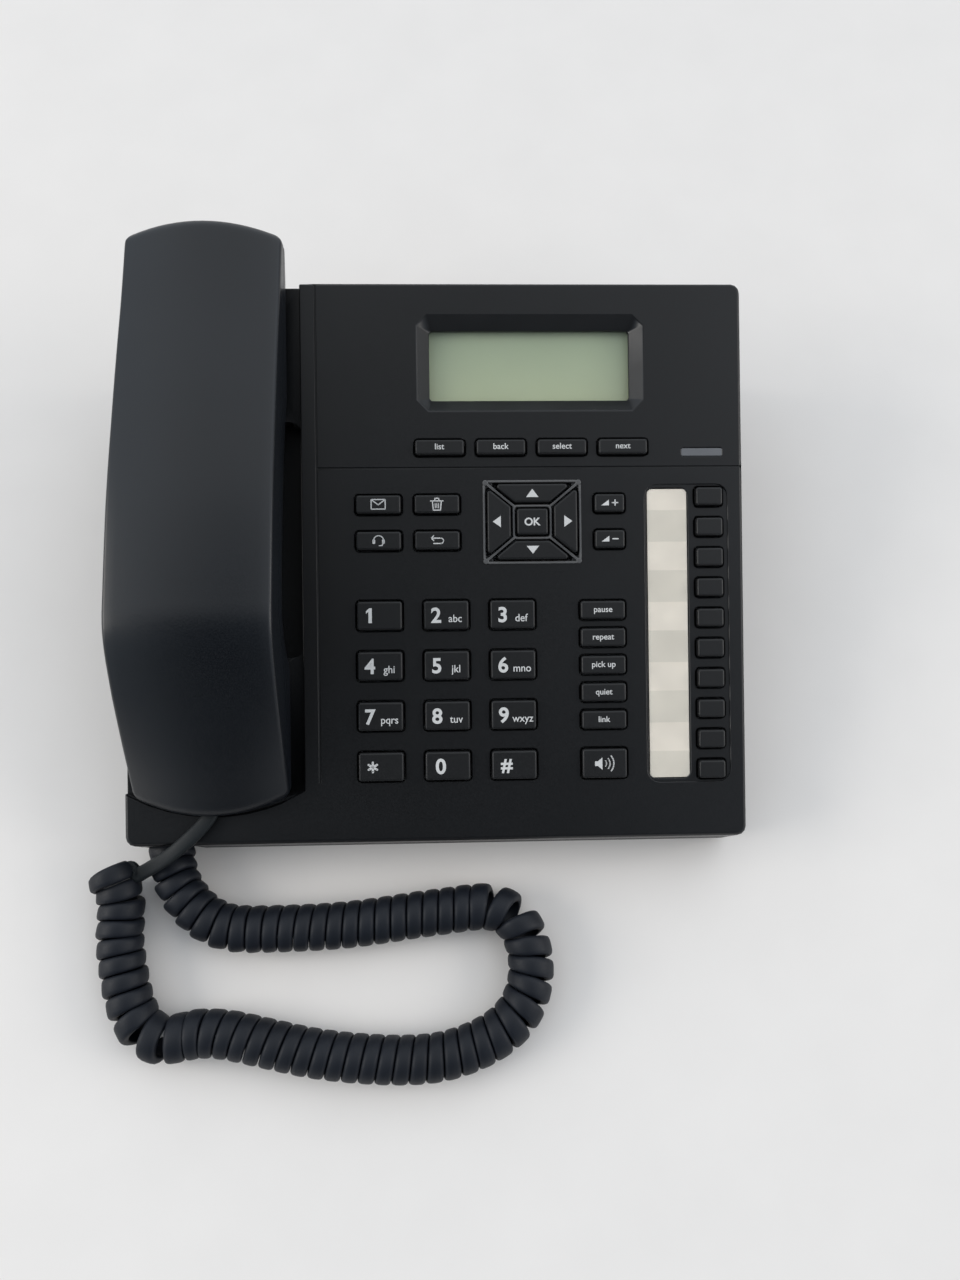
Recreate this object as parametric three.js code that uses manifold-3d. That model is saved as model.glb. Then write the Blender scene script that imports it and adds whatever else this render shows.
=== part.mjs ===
// Executive desk telephone: wedge-shaped base, lift-off handset, curly cord.
// Millimetres, +Z up. The front edge of the base faces -Y.
import * as THREE from 'three';
import { mergeVertices } from 'three/addons/utils/BufferGeometryUtils.js';
import Module from 'manifold-3d';

const wasm = await Module();
wasm.setup();

// Base: the panel is the sloping top, and "along" means up the slope from the front edge
const slope = THREE.MathUtils.degToRad(14);
const frontHeight = 25;
const cornerRadius = 3;
const edgeChamfer = 0.8;
const wall = 2.4;
const panelThickness = 2.4;
const splitHeight = 12;
const footHeight = 2;
const gap = 0.3;

// Cradle on the left, open to the side
const channelWidth = 59.8;
const channelDepth = 3;
const rimWidth = 5.2;
const gripRecess = { front: 62, rear: 142, depth: 12 };
const wellDepth = 9;
const wellClearance = 0.8;

// Places on the panel: columns count from the left, rows from the front
const dialInset = 20.6;
const dialPitchX = 22.35;
const dialPitchY = 16.9;
const dialFront = 25.2;
const functionGap = 30.6;
const functionPitch = 9.28;
const speakerGap = 5.78;
const smallPitchX = 19.65;
const smallPitchY = 12.2;
const clusterInset = 51.8;
const clusterGap = 31.25;
const volumeShift = 2.7;
const labelGap = 22.55;
const memoryGap = 14.15;
const memoryPitch = 10.29;
const memoryFront = 22.695;
const memoryMargin = 6.745;
const rightMargin = 11.8;
const grooveGap = 18.45;
const softGap = 6.75;
const softPitch = 20.68;
const displayGap = 28.75;
const rearMargin = 27.1;

// Key openings (width, length) and how every key fits its opening
const dialHole = { width: 16.1, length: 10.6 };
const functionHole = { width: 16.1, length: 7.1 };
const speakerHole = { width: 16.1, length: 10.9 };
const smallHole = { width: 16.1, length: 7.2 };
const volumeHole = { width: 11.1, length: 7.1 };
const softHole = { width: 17.5, length: 6.1 };
const memoryHole = { width: 10, length: 7.1 };
const keyCorner = 1.2;
const keyGap = 0.5;
const keyRise = 1.6;
const keyBevel = 0.45;
const keyTravel = 1.2;
const lipLong = 1.2;
const lipShort = 0.15;
const lipThickness = 0.9;

// Arrow-key cluster
const clusterWidth = 33.5;
const clusterLength = 28.5;
const clusterRib = 1;
const okHole = { width: 11.5, length: 9.9 };

// Display, lamp, label strip
const displayFrame = { width: 76.9, length: 32.8, cut: 4 };
const displayGlass = { width: 68.5, length: 23.8, cut: 0.8 };
const displayDepth = 4;
const displayFloor = 1.2;
const windowLap = 1.5;
const windowThickness = 1.5;
const moduleLap = 2.7;
const moduleThickness = 4.5;
const lampHole = { width: 13.9, length: 2.9 };
const lampShift = -2.05;
const lampGap = 4.95;
const lampSink = 0.1;
const label = { width: 14.1, length: 98.7, corner: 2.5, depth: 1.2, thickness: 0.5 };
const inset = { left: 7.6, right: 6.5, length: 101, corner: 4, depth: 0.35 };
const groove = { width: 0.6, depth: 0.5, frontEnd: 20 };

// Key mat and circuit board under the keys
const domeHeight = 1.5;
const domeRadius = 1.8;
const matThickness = 0.8;
const matMargin = 2.5;
const boardMargin = 4;
const boardThickness = 1.6;
const boardPost = 3;
const postInset = 16;

// Handset, laid along the cradle
const handset = { width: 51, front: 10.5, rear: 205.7, frontBulge: 5.8, rearBulge: 4.5, bulgeReach: 40 };
const crown = 2.5;
const shellWall = 2.2;
const solidTip = 6;
const block = { width: 44, corner: 6, drop: 6 };
const earBlock = { place: 166, length: 34 };
const mouthBlock = { place: 44, length: 26 };
const receiver = { radius: 13.5, thickness: 6 };
const microphone = { radius: 5, thickness: 4 };
const soundHoleRadius = 1.2;
const soundRing = 6;

// Height of the handset's side edges over the panel, and of its underside
const edgeLine = [
  [10.5, 3], [14, 4.2], [18.4, 6.2], [30.4, 14], [50.4, 23.3], [68.4, 30.7], [72, 32], [76, 32.6],
  [80.4, 32.1], [111.4, 27.9], [143.4, 20.9], [177.4, 12.6], [201.4, 7.8], [205.7, 6.9],
];
const archLine = [
  [10.5, 0], [58, 0], [63, 5.7], [68.4, 10.7], [76, 14.2], [90, 13.7], [111.4, 10.7], [130, 6.7],
  [143.4, 2.2], [149, 0], [190, 0], [201.4, 0.9], [205.7, 2.2],
];
const partingLine = [
  [0, 0.2], [14, 0.2], [30, 5], [60, 13], [76, 20.5], [111, 17], [143, 9.5], [177, 4.5], [220, 2.8],
];

// Hook switch in the ear well
const hook = { width: 12, length: 6, travel: 4, offset: 4, lip: 1.5, thickness: 1.5, slotGap: 0.4 };

// Cord: a flat strap wound into a curly cord, with modular plugs at both ends
const strap = { width: 4.7, thickness: 2.8 };
const coilDiameter = 15.6;
const coilPitch = 5.45;
const curlGap = 0.5;
const coilSteps = 8;
const plug = { width: 7.6, height: 6.6, length: 12, clearance: 0.3, proud: 1.5, lift: 4.3, wall: 1.4 };
const leadTunnel = { width: 7.2, height: 6.1 };
const pocket = { left: 2.4, right: 21, depth: 14, height: 16.4, wall: 1.5 };
const cordClearance = 0.1;

// Line socket in the rear wall and loudspeaker slots underneath
const lineSocket = { place: 150, width: 12, height: 7, depth: 12, wall: 1.6, lift: 4 };
const speakerSlots = { place: 120, rear: 40, count: 5, width: 2, length: 26, pitch: 5 };
const foot = { width: 22, length: 9, margin: 9, corner: 2 };
const casePost = { radius: 3.5, margin: 10.5 };

// Layout worked out from the sizes above
const grooveX = channelWidth + rimWidth;
const dialX = grooveX + dialInset;
const functionX = dialX + 2 * dialPitchX + functionGap;
const functionFront = dialFront + speakerHole.length / 2 + speakerGap + functionHole.length / 2;
const labelX = functionX + labelGap;
const memoryX = labelX + memoryGap;
const baseWidth = memoryX + rightMargin;
const clusterX = dialX + clusterInset;
const dialTop = dialFront + 3 * dialPitchY;
const clusterY = dialTop + clusterGap;
const memoryRear = memoryFront + 9 * memoryPitch;
const memoryMiddle = (memoryFront + memoryRear) / 2;
const grooveY = Math.max(clusterY + grooveGap, memoryRear + memoryHole.length / 2 + memoryMargin);
const softY = grooveY + softGap;
const displayY = softY + displayGap;
const slopeLength = displayY + rearMargin;
const baseDepth = slopeLength * Math.cos(slope);
const handsetX = channelWidth / 2;
const restHeight = -channelDepth + gap;

// From the panel's own frame to the frame of the table
const panelMatrix = new THREE.Matrix4().makeTranslation(0, 0, frontHeight)
  .multiply(new THREE.Matrix4().makeRotationX(slope));

function panelHeight(y) {
  return frontHeight + y * Math.tan(slope);
}

function finish(color, roughness, metalness = 0) {
  return new THREE.MeshStandardMaterial({ color, roughness, metalness });
}

const housingPlastic = () => finish(0x212223, 0.62);
const keyPlastic = () => finish(0x262728, 0.55);
const cordPlastic = () => finish(0x20242b, 0.5);
const metal = () => finish(0xa9abac, 0.4, 0.8);

// Solids and booleans

function toSolid(geometry) {
  const bare = geometry.clone();
  bare.deleteAttribute('normal');
  bare.deleteAttribute('uv');
  const merged = mergeVertices(bare, 1e-5);
  return new wasm.Manifold(new wasm.Mesh({
    numProp: 3,
    vertProperties: new Float32Array(merged.attributes.position.array),
    triVerts: new Uint32Array(merged.index.array),
  }));
}

function toGeometry(solid) {
  const mesh = solid.getMesh();
  const geometry = new THREE.BufferGeometry();
  geometry.setAttribute('position', new THREE.BufferAttribute(new Float32Array(mesh.vertProperties), 3));
  geometry.setIndex(new THREE.BufferAttribute(new Uint32Array(mesh.triVerts), 1));
  return geometry;
}

function loft(rings) {
  const count = rings[0].length;
  const last = (rings.length - 1) * count;
  const index = [];
  for (let ring = 0; ring < last; ring += count) {
    for (let i = 0; i < count; i += 1) {
      const here = ring + i;
      const next = ring + ((i + 1) % count);
      index.push(here, next, next + count, here, next + count, here + count);
    }
  }
  for (let i = 1; i + 1 < count; i += 1) {
    index.push(0, i + 1, i, last, last + i, last + i + 1);
  }
  const geometry = new THREE.BufferGeometry();
  const values = rings.flat().flatMap((point) => [point.x, point.y, point.z]);
  geometry.setAttribute('position', new THREE.Float32BufferAttribute(values, 3));
  geometry.setIndex(index);
  return geometry;
}

// Outlines are lists of points that run anticlockwise

function rectangle(width, length, x = 0, y = 0) {
  const halfWidth = width / 2;
  const halfLength = length / 2;
  return [[-1, -1], [1, -1], [1, 1], [-1, 1]]
    .map(([i, j]) => new THREE.Vector2(x + i * halfWidth, y + j * halfLength));
}

function roundCorners(points, radius, steps) {
  return points.flatMap((corner, i) => {
    const before = points[(i + points.length - 1) % points.length].clone().sub(corner).normalize();
    const after = points[(i + 1) % points.length].clone().sub(corner).normalize();
    const half = Math.acos(THREE.MathUtils.clamp(before.dot(after), -1, 1)) / 2;
    const reach = radius / Math.tan(half);
    const centre = before.clone().add(after).normalize().multiplyScalar(radius / Math.sin(half)).add(corner);
    const start = before.clone().multiplyScalar(reach).add(corner).sub(centre);
    const turn = Math.PI - 2 * half;
    return Array.from({ length: steps + 1 }, (_, k) => start.clone()
      .rotateAround(new THREE.Vector2(), (turn * k) / steps).add(centre));
  });
}

function roundRectangle(width, length, radius, steps, x = 0, y = 0) {
  return roundCorners(rectangle(width, length, x, y), radius, steps);
}

function insetOutline(points, distance) {
  return points.map((corner, i) => {
    const before = corner.clone().sub(points[(i + points.length - 1) % points.length]).normalize();
    const after = points[(i + 1) % points.length].clone().sub(corner).normalize();
    const side = new THREE.Vector2(-before.y - after.y, before.x + after.x).normalize();
    const share = side.x * -before.y + side.y * before.x;
    return side.multiplyScalar(distance / share).add(corner);
  });
}

function ringAt(outline, height) {
  return outline.map((point) => new THREE.Vector3(point.x, point.y, height));
}

function slab(outline, low, high) {
  const geometry = new THREE.ExtrudeGeometry(new THREE.Shape(outline), { depth: high - low, bevelEnabled: false });
  return geometry.translate(0, 0, low);
}

function tower(outline, low, high) {
  return toSolid(slab(outline, low, high));
}

function onPanel(outline, low, high) {
  return toSolid(slab(outline, low, high).applyMatrix4(panelMatrix));
}

function box(lowCorner, highCorner) {
  const size = highCorner.map((value, i) => value - lowCorner[i]);
  const middle = highCorner.map((value, i) => (value + lowCorner[i]) / 2);
  return toSolid(new THREE.BoxGeometry(...size).translate(...middle));
}

function along(line, place) {
  const next = line.findIndex(([start]) => start > place);
  if (next < 0) return line[line.length - 1][1];
  if (next === 0) return line[0][1];
  const [[a, low], [b, high]] = [line[next - 1], line[next]];
  return low + ((high - low) * (place - a)) / (b - a);
}

function subtractAll(solid, cutters) {
  return cutters.reduce((rest, cutter) => rest.subtract(cutter), solid);
}

function addAll(solid, extras) {
  return extras.reduce((rest, extra) => rest.add(extra), solid);
}

// Keys: one row in this list for each key, with its place on the panel

const keys = [];

function addKey(name, hole, x, y) {
  keys.push({
    name, x, y,
    outline: roundRectangle(hole.width, hole.length, keyCorner, 2),
    cap: roundRectangle(hole.width - 2 * keyGap, hole.length - 2 * keyGap, keyCorner - keyGap / 2, 1),
    lip: roundRectangle(hole.width - 2 * keyGap + 2 * lipLong, hole.length - 2 * keyGap + 2 * lipShort,
      keyCorner - keyGap / 2, 1),
  });
}

const dialNames = ['star', '0', 'hash', '7', '8', '9', '4', '5', '6', '1', '2', '3'];
dialNames.forEach((name, i) => {
  addKey(`key_${name}`, dialHole, dialX + (i % 3) * dialPitchX, dialFront + Math.floor(i / 3) * dialPitchY);
});
for (let i = 0; i < 4; i += 1) {
  addKey(`soft_key_${i + 1}`, softHole, clusterX + (i - 1.5) * softPitch, softY);
}
[['headset_key', 0, -0.5], ['return_key', 1, -0.5], ['message_key', 0, 0.5], ['delete_key', 1, 0.5]]
  .forEach(([name, column, row]) => {
    addKey(name, smallHole, dialX + column * smallPitchX, clusterY + row * smallPitchY);
  });
addKey('volume_down_key', volumeHole, functionX + volumeShift, clusterY - smallPitchY / 2);
addKey('volume_up_key', volumeHole, functionX + volumeShift, clusterY + smallPitchY / 2);
addKey('speaker_key', speakerHole, functionX, dialFront);
for (let i = 0; i < 5; i += 1) {
  addKey(`function_key_${i + 1}`, functionHole, functionX, functionFront + (4 - i) * functionPitch);
}
for (let i = 0; i < 10; i += 1) {
  addKey(`memory_key_${i + 1}`, memoryHole, memoryX, memoryRear - i * memoryPitch);
}

function addCluster() {
  const outerX = clusterWidth / 2 - clusterRib;
  const outerY = clusterLength / 2 - clusterRib;
  const innerX = okHole.width / 2 + clusterRib;
  const innerY = okHole.length / 2 + clusterRib;
  const slant = Math.hypot(outerX - innerX, outerY - innerY) * clusterRib / 2;
  const cutX = slant / (outerY - innerY);
  const cutY = slant / (outerX - innerX);
  const top = [[cutX - innerX, innerY], [innerX - cutX, innerY], [outerX - cutX, outerY], [cutX - outerX, outerY]];
  const right = [[innerX, cutY - innerY], [outerX, cutY - outerY], [outerX, outerY - cutY], [innerX, innerY - cutY]];
  const arrows = {
    arrow_up_key: [top, 1, 0, lipLong],
    arrow_down_key: [top, -1, 0, -lipLong],
    arrow_right_key: [right, 1, lipLong, 0],
    arrow_left_key: [right, -1, -lipLong, 0],
  };
  Object.entries(arrows).forEach(([name, [corners, sign, lipX, lipY]]) => {
    const shape = corners.map(([x, y]) => new THREE.Vector2(sign * x, sign * y));
    const cap = insetOutline(shape, keyGap);
    const wide = insetOutline(cap, -lipShort)
      .map((point) => new THREE.Vector2(
        point.x + (Math.abs(point.x) > innerX + 1 ? lipX : 0),
        point.y + (Math.abs(point.y) > innerY + 1 ? lipY : 0),
      ));
    keys.push({
      name, x: clusterX, y: clusterY,
      outline: roundCorners(shape, keyCorner / 2, 1),
      cap: roundCorners(cap, keyCorner / 2, 1),
      lip: roundCorners(wide, keyCorner / 2, 1),
    });
  });
  addKey('ok_key', okHole, clusterX, clusterY);
}
addCluster();

function keyGeometry({ cap, lip }) {
  const shoulder = -panelThickness - gap;
  return loft([
    ringAt(lip, shoulder - lipThickness),
    ringAt(lip, shoulder),
    ringAt(cap, shoulder),
    ringAt(cap, keyRise - keyBevel),
    ringAt(insetOutline(cap, keyBevel), keyRise),
  ]);
}

// Cradle: the channel's front end follows the handset's rounded front end

const endRadius = (handset.width ** 2 / 4 + handset.frontBulge ** 2) / (2 * handset.frontBulge);

function channelFront(x) {
  const radius = endRadius + 4 * gap;
  return handset.front - 4 * gap + radius - Math.sqrt(radius ** 2 - (x - handsetX) ** 2);
}

function channelOutline(grow) {
  const overrun = 5;
  const steps = 10;
  const left = -overrun;
  const right = channelWidth + grow;
  const arc = Array.from({ length: steps + 1 }, (_, i) => {
    const x = left + ((right - left) * i) / steps;
    return new THREE.Vector2(x, channelFront(x) - grow);
  });
  return [...arc, new THREE.Vector2(right, slopeLength + overrun), new THREE.Vector2(left, slopeLength + overrun)];
}

function wellOutline({ place, length }, grow) {
  const margin = 2 * (wellClearance + grow);
  return roundRectangle(block.width + margin, length + margin, block.corner, 3, handsetX, place);
}

function gripOutline(grow) {
  const overrun = 5;
  const right = channelWidth + grow;
  const length = gripRecess.rear - gripRecess.front + 2 * grow;
  const middle = (gripRecess.rear + gripRecess.front) / 2;
  return roundRectangle(right + overrun, length, 4, 3, (right - overrun) / 2, middle);
}

function cradleSolids(grow, thicker) {
  const above = 12;
  return [
    onPanel(channelOutline(grow), -channelDepth - thicker, above),
    onPanel(gripOutline(grow), -gripRecess.depth - thicker, above),
    onPanel(wellOutline(earBlock, grow), -wellDepth - thicker, above),
    onPanel(wellOutline(mouthBlock, grow), -wellDepth - thicker, above),
  ];
}

// Upper housing: the sloping panel with its skirt

function planRing(inward, height) {
  const outline = roundRectangle(baseWidth - 2 * inward, baseDepth - 2 * inward,
    Math.max(cornerRadius - inward, 0.5), 3, baseWidth / 2, baseDepth / 2);
  return outline.map((point) => new THREE.Vector3(point.x, point.y, height(point.y)));
}

const hookPlace = earBlock.place + hook.offset;
const overGrip = hookPlace - hook.length / 2 - hook.slotGap < gripRecess.rear;
const hookFloor = overGrip ? Math.max(wellDepth, gripRecess.depth) : wellDepth;

function hookOutline(grow) {
  return roundRectangle(hook.width + 2 * grow, hook.length + 2 * grow, 1, 2, handsetX, hookPlace);
}

const casePosts = [[grooveX + casePost.margin, casePost.margin], [baseWidth - casePost.margin, casePost.margin],
  [grooveX + casePost.margin, baseDepth - casePost.margin],
  [baseWidth - casePost.margin, baseDepth - casePost.margin]];

function polygon(radius, sides, x, y) {
  return Array.from({ length: sides }, (_, i) => {
    const angle = (2 * Math.PI * (i + 0.5)) / sides;
    return new THREE.Vector2(x + radius * Math.cos(angle), y + radius * Math.sin(angle));
  });
}

const matTop = -panelThickness - gap - lipThickness - keyTravel - gap - domeHeight;
const boardTop = matTop - matThickness - gap;
const mat = {
  left: dialX - dialHole.width / 2 - matMargin,
  right: memoryX + memoryHole.width / 2 + matMargin,
  front: dialFront - speakerHole.length / 2 - matMargin,
  rear: softY + softHole.length / 2 + matMargin,
};
const board = { left: mat.left, right: mat.right, front: mat.front - boardMargin, rear: mat.rear + boardMargin };

function boardPosts() {
  const rows = [board.front + boardPost / 2, board.rear - boardPost / 2];
  const columns = [board.left + postInset, board.right - postInset];
  return rows.flatMap((y) => columns.map((x) => onPanel(
    rectangle(boardPost, boardPost, x, y), boardTop + gap, -panelThickness / 2)));
}

function grooveSolids() {
  const over = 5;
  const up = 1;
  return [
    onPanel(rectangle(groove.width, slopeLength + over - groove.frontEnd, grooveX,
      (slopeLength + over + groove.frontEnd) / 2), -groove.depth, up),
    onPanel(rectangle(baseWidth + over - grooveX, groove.width, (baseWidth + over + grooveX) / 2, grooveY),
      -groove.depth, up),
  ];
}

function cutCornerOutline({ width, length, cut }, grow = 0) {
  const w = width / 2 + grow;
  const l = length / 2 + grow;
  return [[-w, cut - l], [cut - w, -l], [w - cut, -l], [w, cut - l], [w, l - cut], [w - cut, l], [cut - w, l],
    [-w, l - cut]].map(([x, y]) => new THREE.Vector2(clusterX + x, displayY + y));
}

function displayFunnel() {
  const above = 0.2;
  const slant = (displayFrame.width - displayGlass.width) / 2 / displayDepth;
  return toSolid(loft([
    ringAt(cutCornerOutline(displayGlass), -displayDepth),
    ringAt(cutCornerOutline(displayFrame, above * slant), above),
  ]).applyMatrix4(panelMatrix));
}

function insetArea(down) {
  const left = labelX - inset.left;
  const right = memoryX + inset.right;
  return onPanel(roundRectangle(right - left, inset.length, inset.corner, 4, (left + right) / 2, memoryMiddle),
    -down, 1);
}

function upperHousing() {
  const low = splitHeight + gap / 2;
  const body = toSolid(loft([
    planRing(0, () => low),
    planRing(0, (y) => panelHeight(y) - edgeChamfer),
    planRing(edgeChamfer, panelHeight),
  ]));
  const room = toSolid(loft([
    planRing(wall, () => low - 1),
    planRing(wall, (y) => panelHeight(y) - panelThickness / Math.cos(slope)),
  ]));
  const posts = casePosts.map(([x, y]) => tower(polygon(casePost.radius, 8, x, y), low, panelHeight(y) - 1));
  const frame = onPanel(cutCornerOutline(displayFrame, displayFloor), -displayDepth - displayFloor, 0);
  const cavity = subtractAll(room, [...cradleSolids(wall, panelThickness), frame, ...boardPosts(), ...posts]);
  const cuts = [
    ...cradleSolids(0, 0),
    displayFunnel(),
    onPanel(cutCornerOutline(displayGlass), -displayDepth - displayFloor - 1, 0),
    insetArea(inset.depth),
    onPanel(roundRectangle(label.width, label.length, label.corner, 4, labelX, memoryMiddle),
      -inset.depth - label.depth, 1),
    onPanel(roundRectangle(lampHole.width, lampHole.length, 0.6, 1, memoryX + lampShift, grooveY + lampGap),
      -panelThickness - 1, 1),
    onPanel(hookOutline(hook.slotGap), -hookFloor - panelThickness - 1, 0),
    ...grooveSolids(),
    ...keys.map(({ outline, x, y }) => onPanel(
      outline.map((point) => new THREE.Vector2(point.x + x, point.y + y)), -panelThickness - 1, 1)),
    box([pocket.left, -1, 0], [pocket.right + pocket.wall + gap, wall + 1, pocket.height + pocket.wall + gap]),
  ];
  return subtractAll(body.subtract(cavity), cuts);
}

// Lower housing: the tray with feet, cord pocket, plug socket and line socket

function lowerHousing() {
  const high = splitHeight - gap / 2;
  const plate = footHeight + wall;
  const body = toSolid(loft([planRing(edgeChamfer, () => footHeight), planRing(0, () => footHeight + edgeChamfer),
    planRing(0, () => high)]));
  const room = toSolid(loft([planRing(wall, () => plate), planRing(wall, () => high + 1)]));
  const posts = casePosts.map(([x, y]) => tower(polygon(casePost.radius, 8, x, y), footHeight + 1, high));
  const feet = [[0, 0], [1, 0], [0, 1], [1, 1]].map(([i, j]) => {
    const insetX = foot.margin + foot.width / 2;
    const insetY = foot.margin + foot.length / 2;
    const left = insetX + pocket.right;
    const x = i ? baseWidth - insetX : left;
    const y = j ? baseDepth - insetY : insetY;
    return tower(roundRectangle(foot.width, foot.length, foot.corner, 2, x, y), 0, footHeight + 1);
  });
  const pocketBack = pocket.depth + pocket.wall;
  const socketEnd = pocket.depth + plug.length + gap + pocket.wall;
  const plugX = cordEnd.x;
  const side = plug.width / 2 + plug.clearance + pocket.wall;
  const top = pocket.height + pocket.wall;
  const blocks = [
    box([wall + gap, 0, footHeight], [pocket.right + pocket.wall, pocketBack, top]),
    box([plugX - side, pocket.depth, footHeight],
      [plugX + side, socketEnd, cordEnd.z + plug.height / 2 + plug.clearance + pocket.wall]),
    box([lineSocket.place - lineSocket.width / 2 - lineSocket.wall,
      baseDepth - lineSocket.depth - lineSocket.wall, footHeight + 1],
    [lineSocket.place + lineSocket.width / 2 + lineSocket.wall, baseDepth - 1, high]),
  ];
  const plugWide = plug.width / 2 + plug.clearance;
  const plugHigh = plug.height / 2 + plug.clearance;
  const slots = Array.from({ length: speakerSlots.count }, (_, i) => tower(
    roundRectangle(speakerSlots.width, speakerSlots.length, speakerSlots.width / 2.2, 2,
      speakerSlots.place + (i - (speakerSlots.count - 1) / 2) * speakerSlots.pitch, baseDepth - speakerSlots.rear),
    0, plate + 1));
  const cuts = [
    box([pocket.left, -1, -1], [pocket.right, pocket.depth, pocket.height]),
    box([plugX - plugWide, pocket.depth - 1, cordEnd.z - plugHigh],
      [plugX + plugWide, socketEnd - pocket.wall, cordEnd.z + plugHigh]),
    box([lineSocket.place - lineSocket.width / 2, baseDepth - lineSocket.depth, lineSocket.lift],
      [lineSocket.place + lineSocket.width / 2, baseDepth + 1, lineSocket.lift + lineSocket.height]),
    ...slots,
  ];
  return subtractAll(addAll(body.subtract(room), [...posts, ...feet, ...blocks]), cuts);
}

// Handset

function handsetRing(place, inward, round) {
  const half = handset.width / 2 - inward - round;
  const edge = along(edgeLine, place) - inward - round / 2;
  const low = restHeight + along(archLine, place) + inward + round / 3;
  const rise = Math.min(3.2, (edge - low) * 0.45);
  const drop = Math.min(1.4, (edge - low) * 0.25);
  const side = [[half / 2, low], [half - 4, low], [half - 1.2, low + rise * 0.3], [half, low + rise],
    [half, edge - drop], [half - 0.4, edge - drop * 0.3], [half - 1.5, edge + 0.3],
    [half * 0.75, edge + crown * 0.44], [half / 2, edge + crown * 0.78]];
  const left = side.map(([x, z]) => [-x, z]);
  const right = side.slice().reverse();
  const front = Math.max(0, 1 - (place - handset.front) / handset.bulgeReach) * handset.frontBulge;
  const rear = Math.max(0, 1 - (handset.rear - place) / handset.bulgeReach) * handset.rearBulge;
  const halfWidth = handset.width / 2;
  return [...left, [0, edge + crown], ...right, [0, low]].map(([x, z]) => new THREE.Vector3(
    handsetX + x, place + (front - rear) * (x / halfWidth) ** 2, z));
}

function handsetBody(inward, front, rear) {
  const first = front + inward;
  const last = rear - inward;
  const ends = [first + 0.9, first + 3, last - 3, last - 0.9];
  const middle = [...edgeLine, ...archLine].map(([place]) => place)
    .filter((place) => place > first + 4 && place < last - 4);
  const stations = [...new Set([first, ...ends, ...middle, last])].sort((a, b) => a - b);
  return toSolid(loft(stations.map((place) => {
    const reach = Math.min(place - first, last - place);
    const round = reach < 0.5 ? 2.4 : Math.max(0, 1 - reach / 3) * 1.2;
    return handsetRing(place, inward, round);
  })));
}

function handsetBlock({ place, length }, inward) {
  const bottom = restHeight - block.drop;
  return tower(roundRectangle(block.width - 2 * inward, length - 2 * inward, block.corner - inward, 3,
    handsetX, place), bottom + inward, restHeight + 4);
}

function partingSolid(rise, up) {
  const far = (up ? 1 : -1) * handset.width;
  const line = partingLine.map(([place, height]) => new THREE.Vector2(place, height + rise));
  const [first, last] = [line[0].x, line[line.length - 1].x];
  const outline = [...line, new THREE.Vector2(last, far), new THREE.Vector2(first, far)];
  const depth = 2 * handset.width;
  const geometry = new THREE.ExtrudeGeometry(new THREE.Shape(outline), { depth, bevelEnabled: false });
  geometry.applyMatrix4(new THREE.Matrix4().makeBasis(
    new THREE.Vector3(0, 1, 0), new THREE.Vector3(0, 0, 1), new THREE.Vector3(1, 0, 0)));
  return toSolid(geometry.translate(handsetX - handset.width, 0, 0));
}

const plugFront = handset.front + handset.frontBulge;
const plugHeight = restHeight + plug.lift;

function plugPocket() {
  const half = plug.width / 2 + plug.clearance;
  const tunnel = leadTunnel.width / 2;
  const below = restHeight - 1;
  return [
    box([handsetX - half, plugFront, below],
      [handsetX + half, plugFront + plug.length + plug.clearance + gap, plugHeight + plug.height / 2 + plug.clearance]),
    box([handsetX - tunnel, handset.front - 2, below],
      [handsetX + tunnel, plugFront + 1, restHeight + leadTunnel.height]),
  ];
}

function plugHousing() {
  const half = plug.width / 2 + plug.clearance + plug.wall;
  return box([handsetX - half, handset.front, -20],
    [handsetX + half, plugFront + plug.length + plug.clearance + gap + plug.wall, 20]);
}

function soundHoles() {
  const bottom = restHeight - block.drop;
  const hole = (x, y) => tower(polygon(soundHoleRadius, 6, handsetX + x, y), bottom - 1, bottom + shellWall + 1);
  const ear = Array.from({ length: soundRing }, (_, i) => {
    const angle = (2 * Math.PI * i) / soundRing;
    const reach = receiver.radius / 2;
    return hole(reach * Math.cos(angle), earBlock.place + reach * Math.sin(angle));
  });
  return [...ear, hole(0, earBlock.place), hole(0, mouthBlock.place)];
}

function handsetShells() {
  const skin = addAll(handsetBody(0, handset.front, handset.rear),
    [handsetBlock(earBlock, 0), handsetBlock(mouthBlock, 0)]);
  const hollow = addAll(handsetBody(shellWall, handset.front + solidTip, handset.rear),
    [handsetBlock(earBlock, shellWall), handsetBlock(mouthBlock, shellWall)]).subtract(plugHousing());
  const shells = subtractAll(skin.subtract(hollow), [...plugPocket(), ...soundHoles()]);
  return {
    outer: shells.intersect(partingSolid(gap / 2, true)),
    inner: shells.intersect(partingSolid(-gap / 2, false)),
  };
}

// Cords

// Middle of the curly cord on the table, from the handset's lead round to the pocket under the base
const cordRoute = [
  [-8.4, -10.1], [-6.2, -16], [-5.2, -22.7], [-5.1, -29.2], [-4.3, -35.1], [-3, -41], [-1.4, -47.2], [0.9, -53.4],
  [4.6, -59.2], [10.2, -62.6], [16.6, -62.4], [23, -61.3], [30.9, -61.6], [37.5, -62.8], [43.5, -64.2],
  [49.5, -65.6], [55.5, -67], [61.5, -68.2], [70, -69.5], [79.6, -70.5], [89.2, -71.1], [96.9, -71.1],
  [103.3, -70.6], [109.8, -69.3], [116.2, -67.2], [122.2, -64.4], [127.4, -60.8], [131.5, -56.2],
  [134.2, -50.8], [135.5, -45], [135.5, -39], [134.2, -33], [131.2, -27.4], [126.4, -23.6], [120.5, -22.2],
  [113.8, -22.5], [105, -23.5], [95.8, -24.5], [85.8, -25.8], [75.9, -26.9], [66, -27.6], [56.8, -27.9],
  [47.5, -28], [38.5, -27.9], [32, -27.2], [26.4, -25.2], [21.4, -21.8], [17.2, -17.4], [14, -12.4],
  [12, -7], [11.1, -1.5], [11, 4], [11, 8],
];
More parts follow.
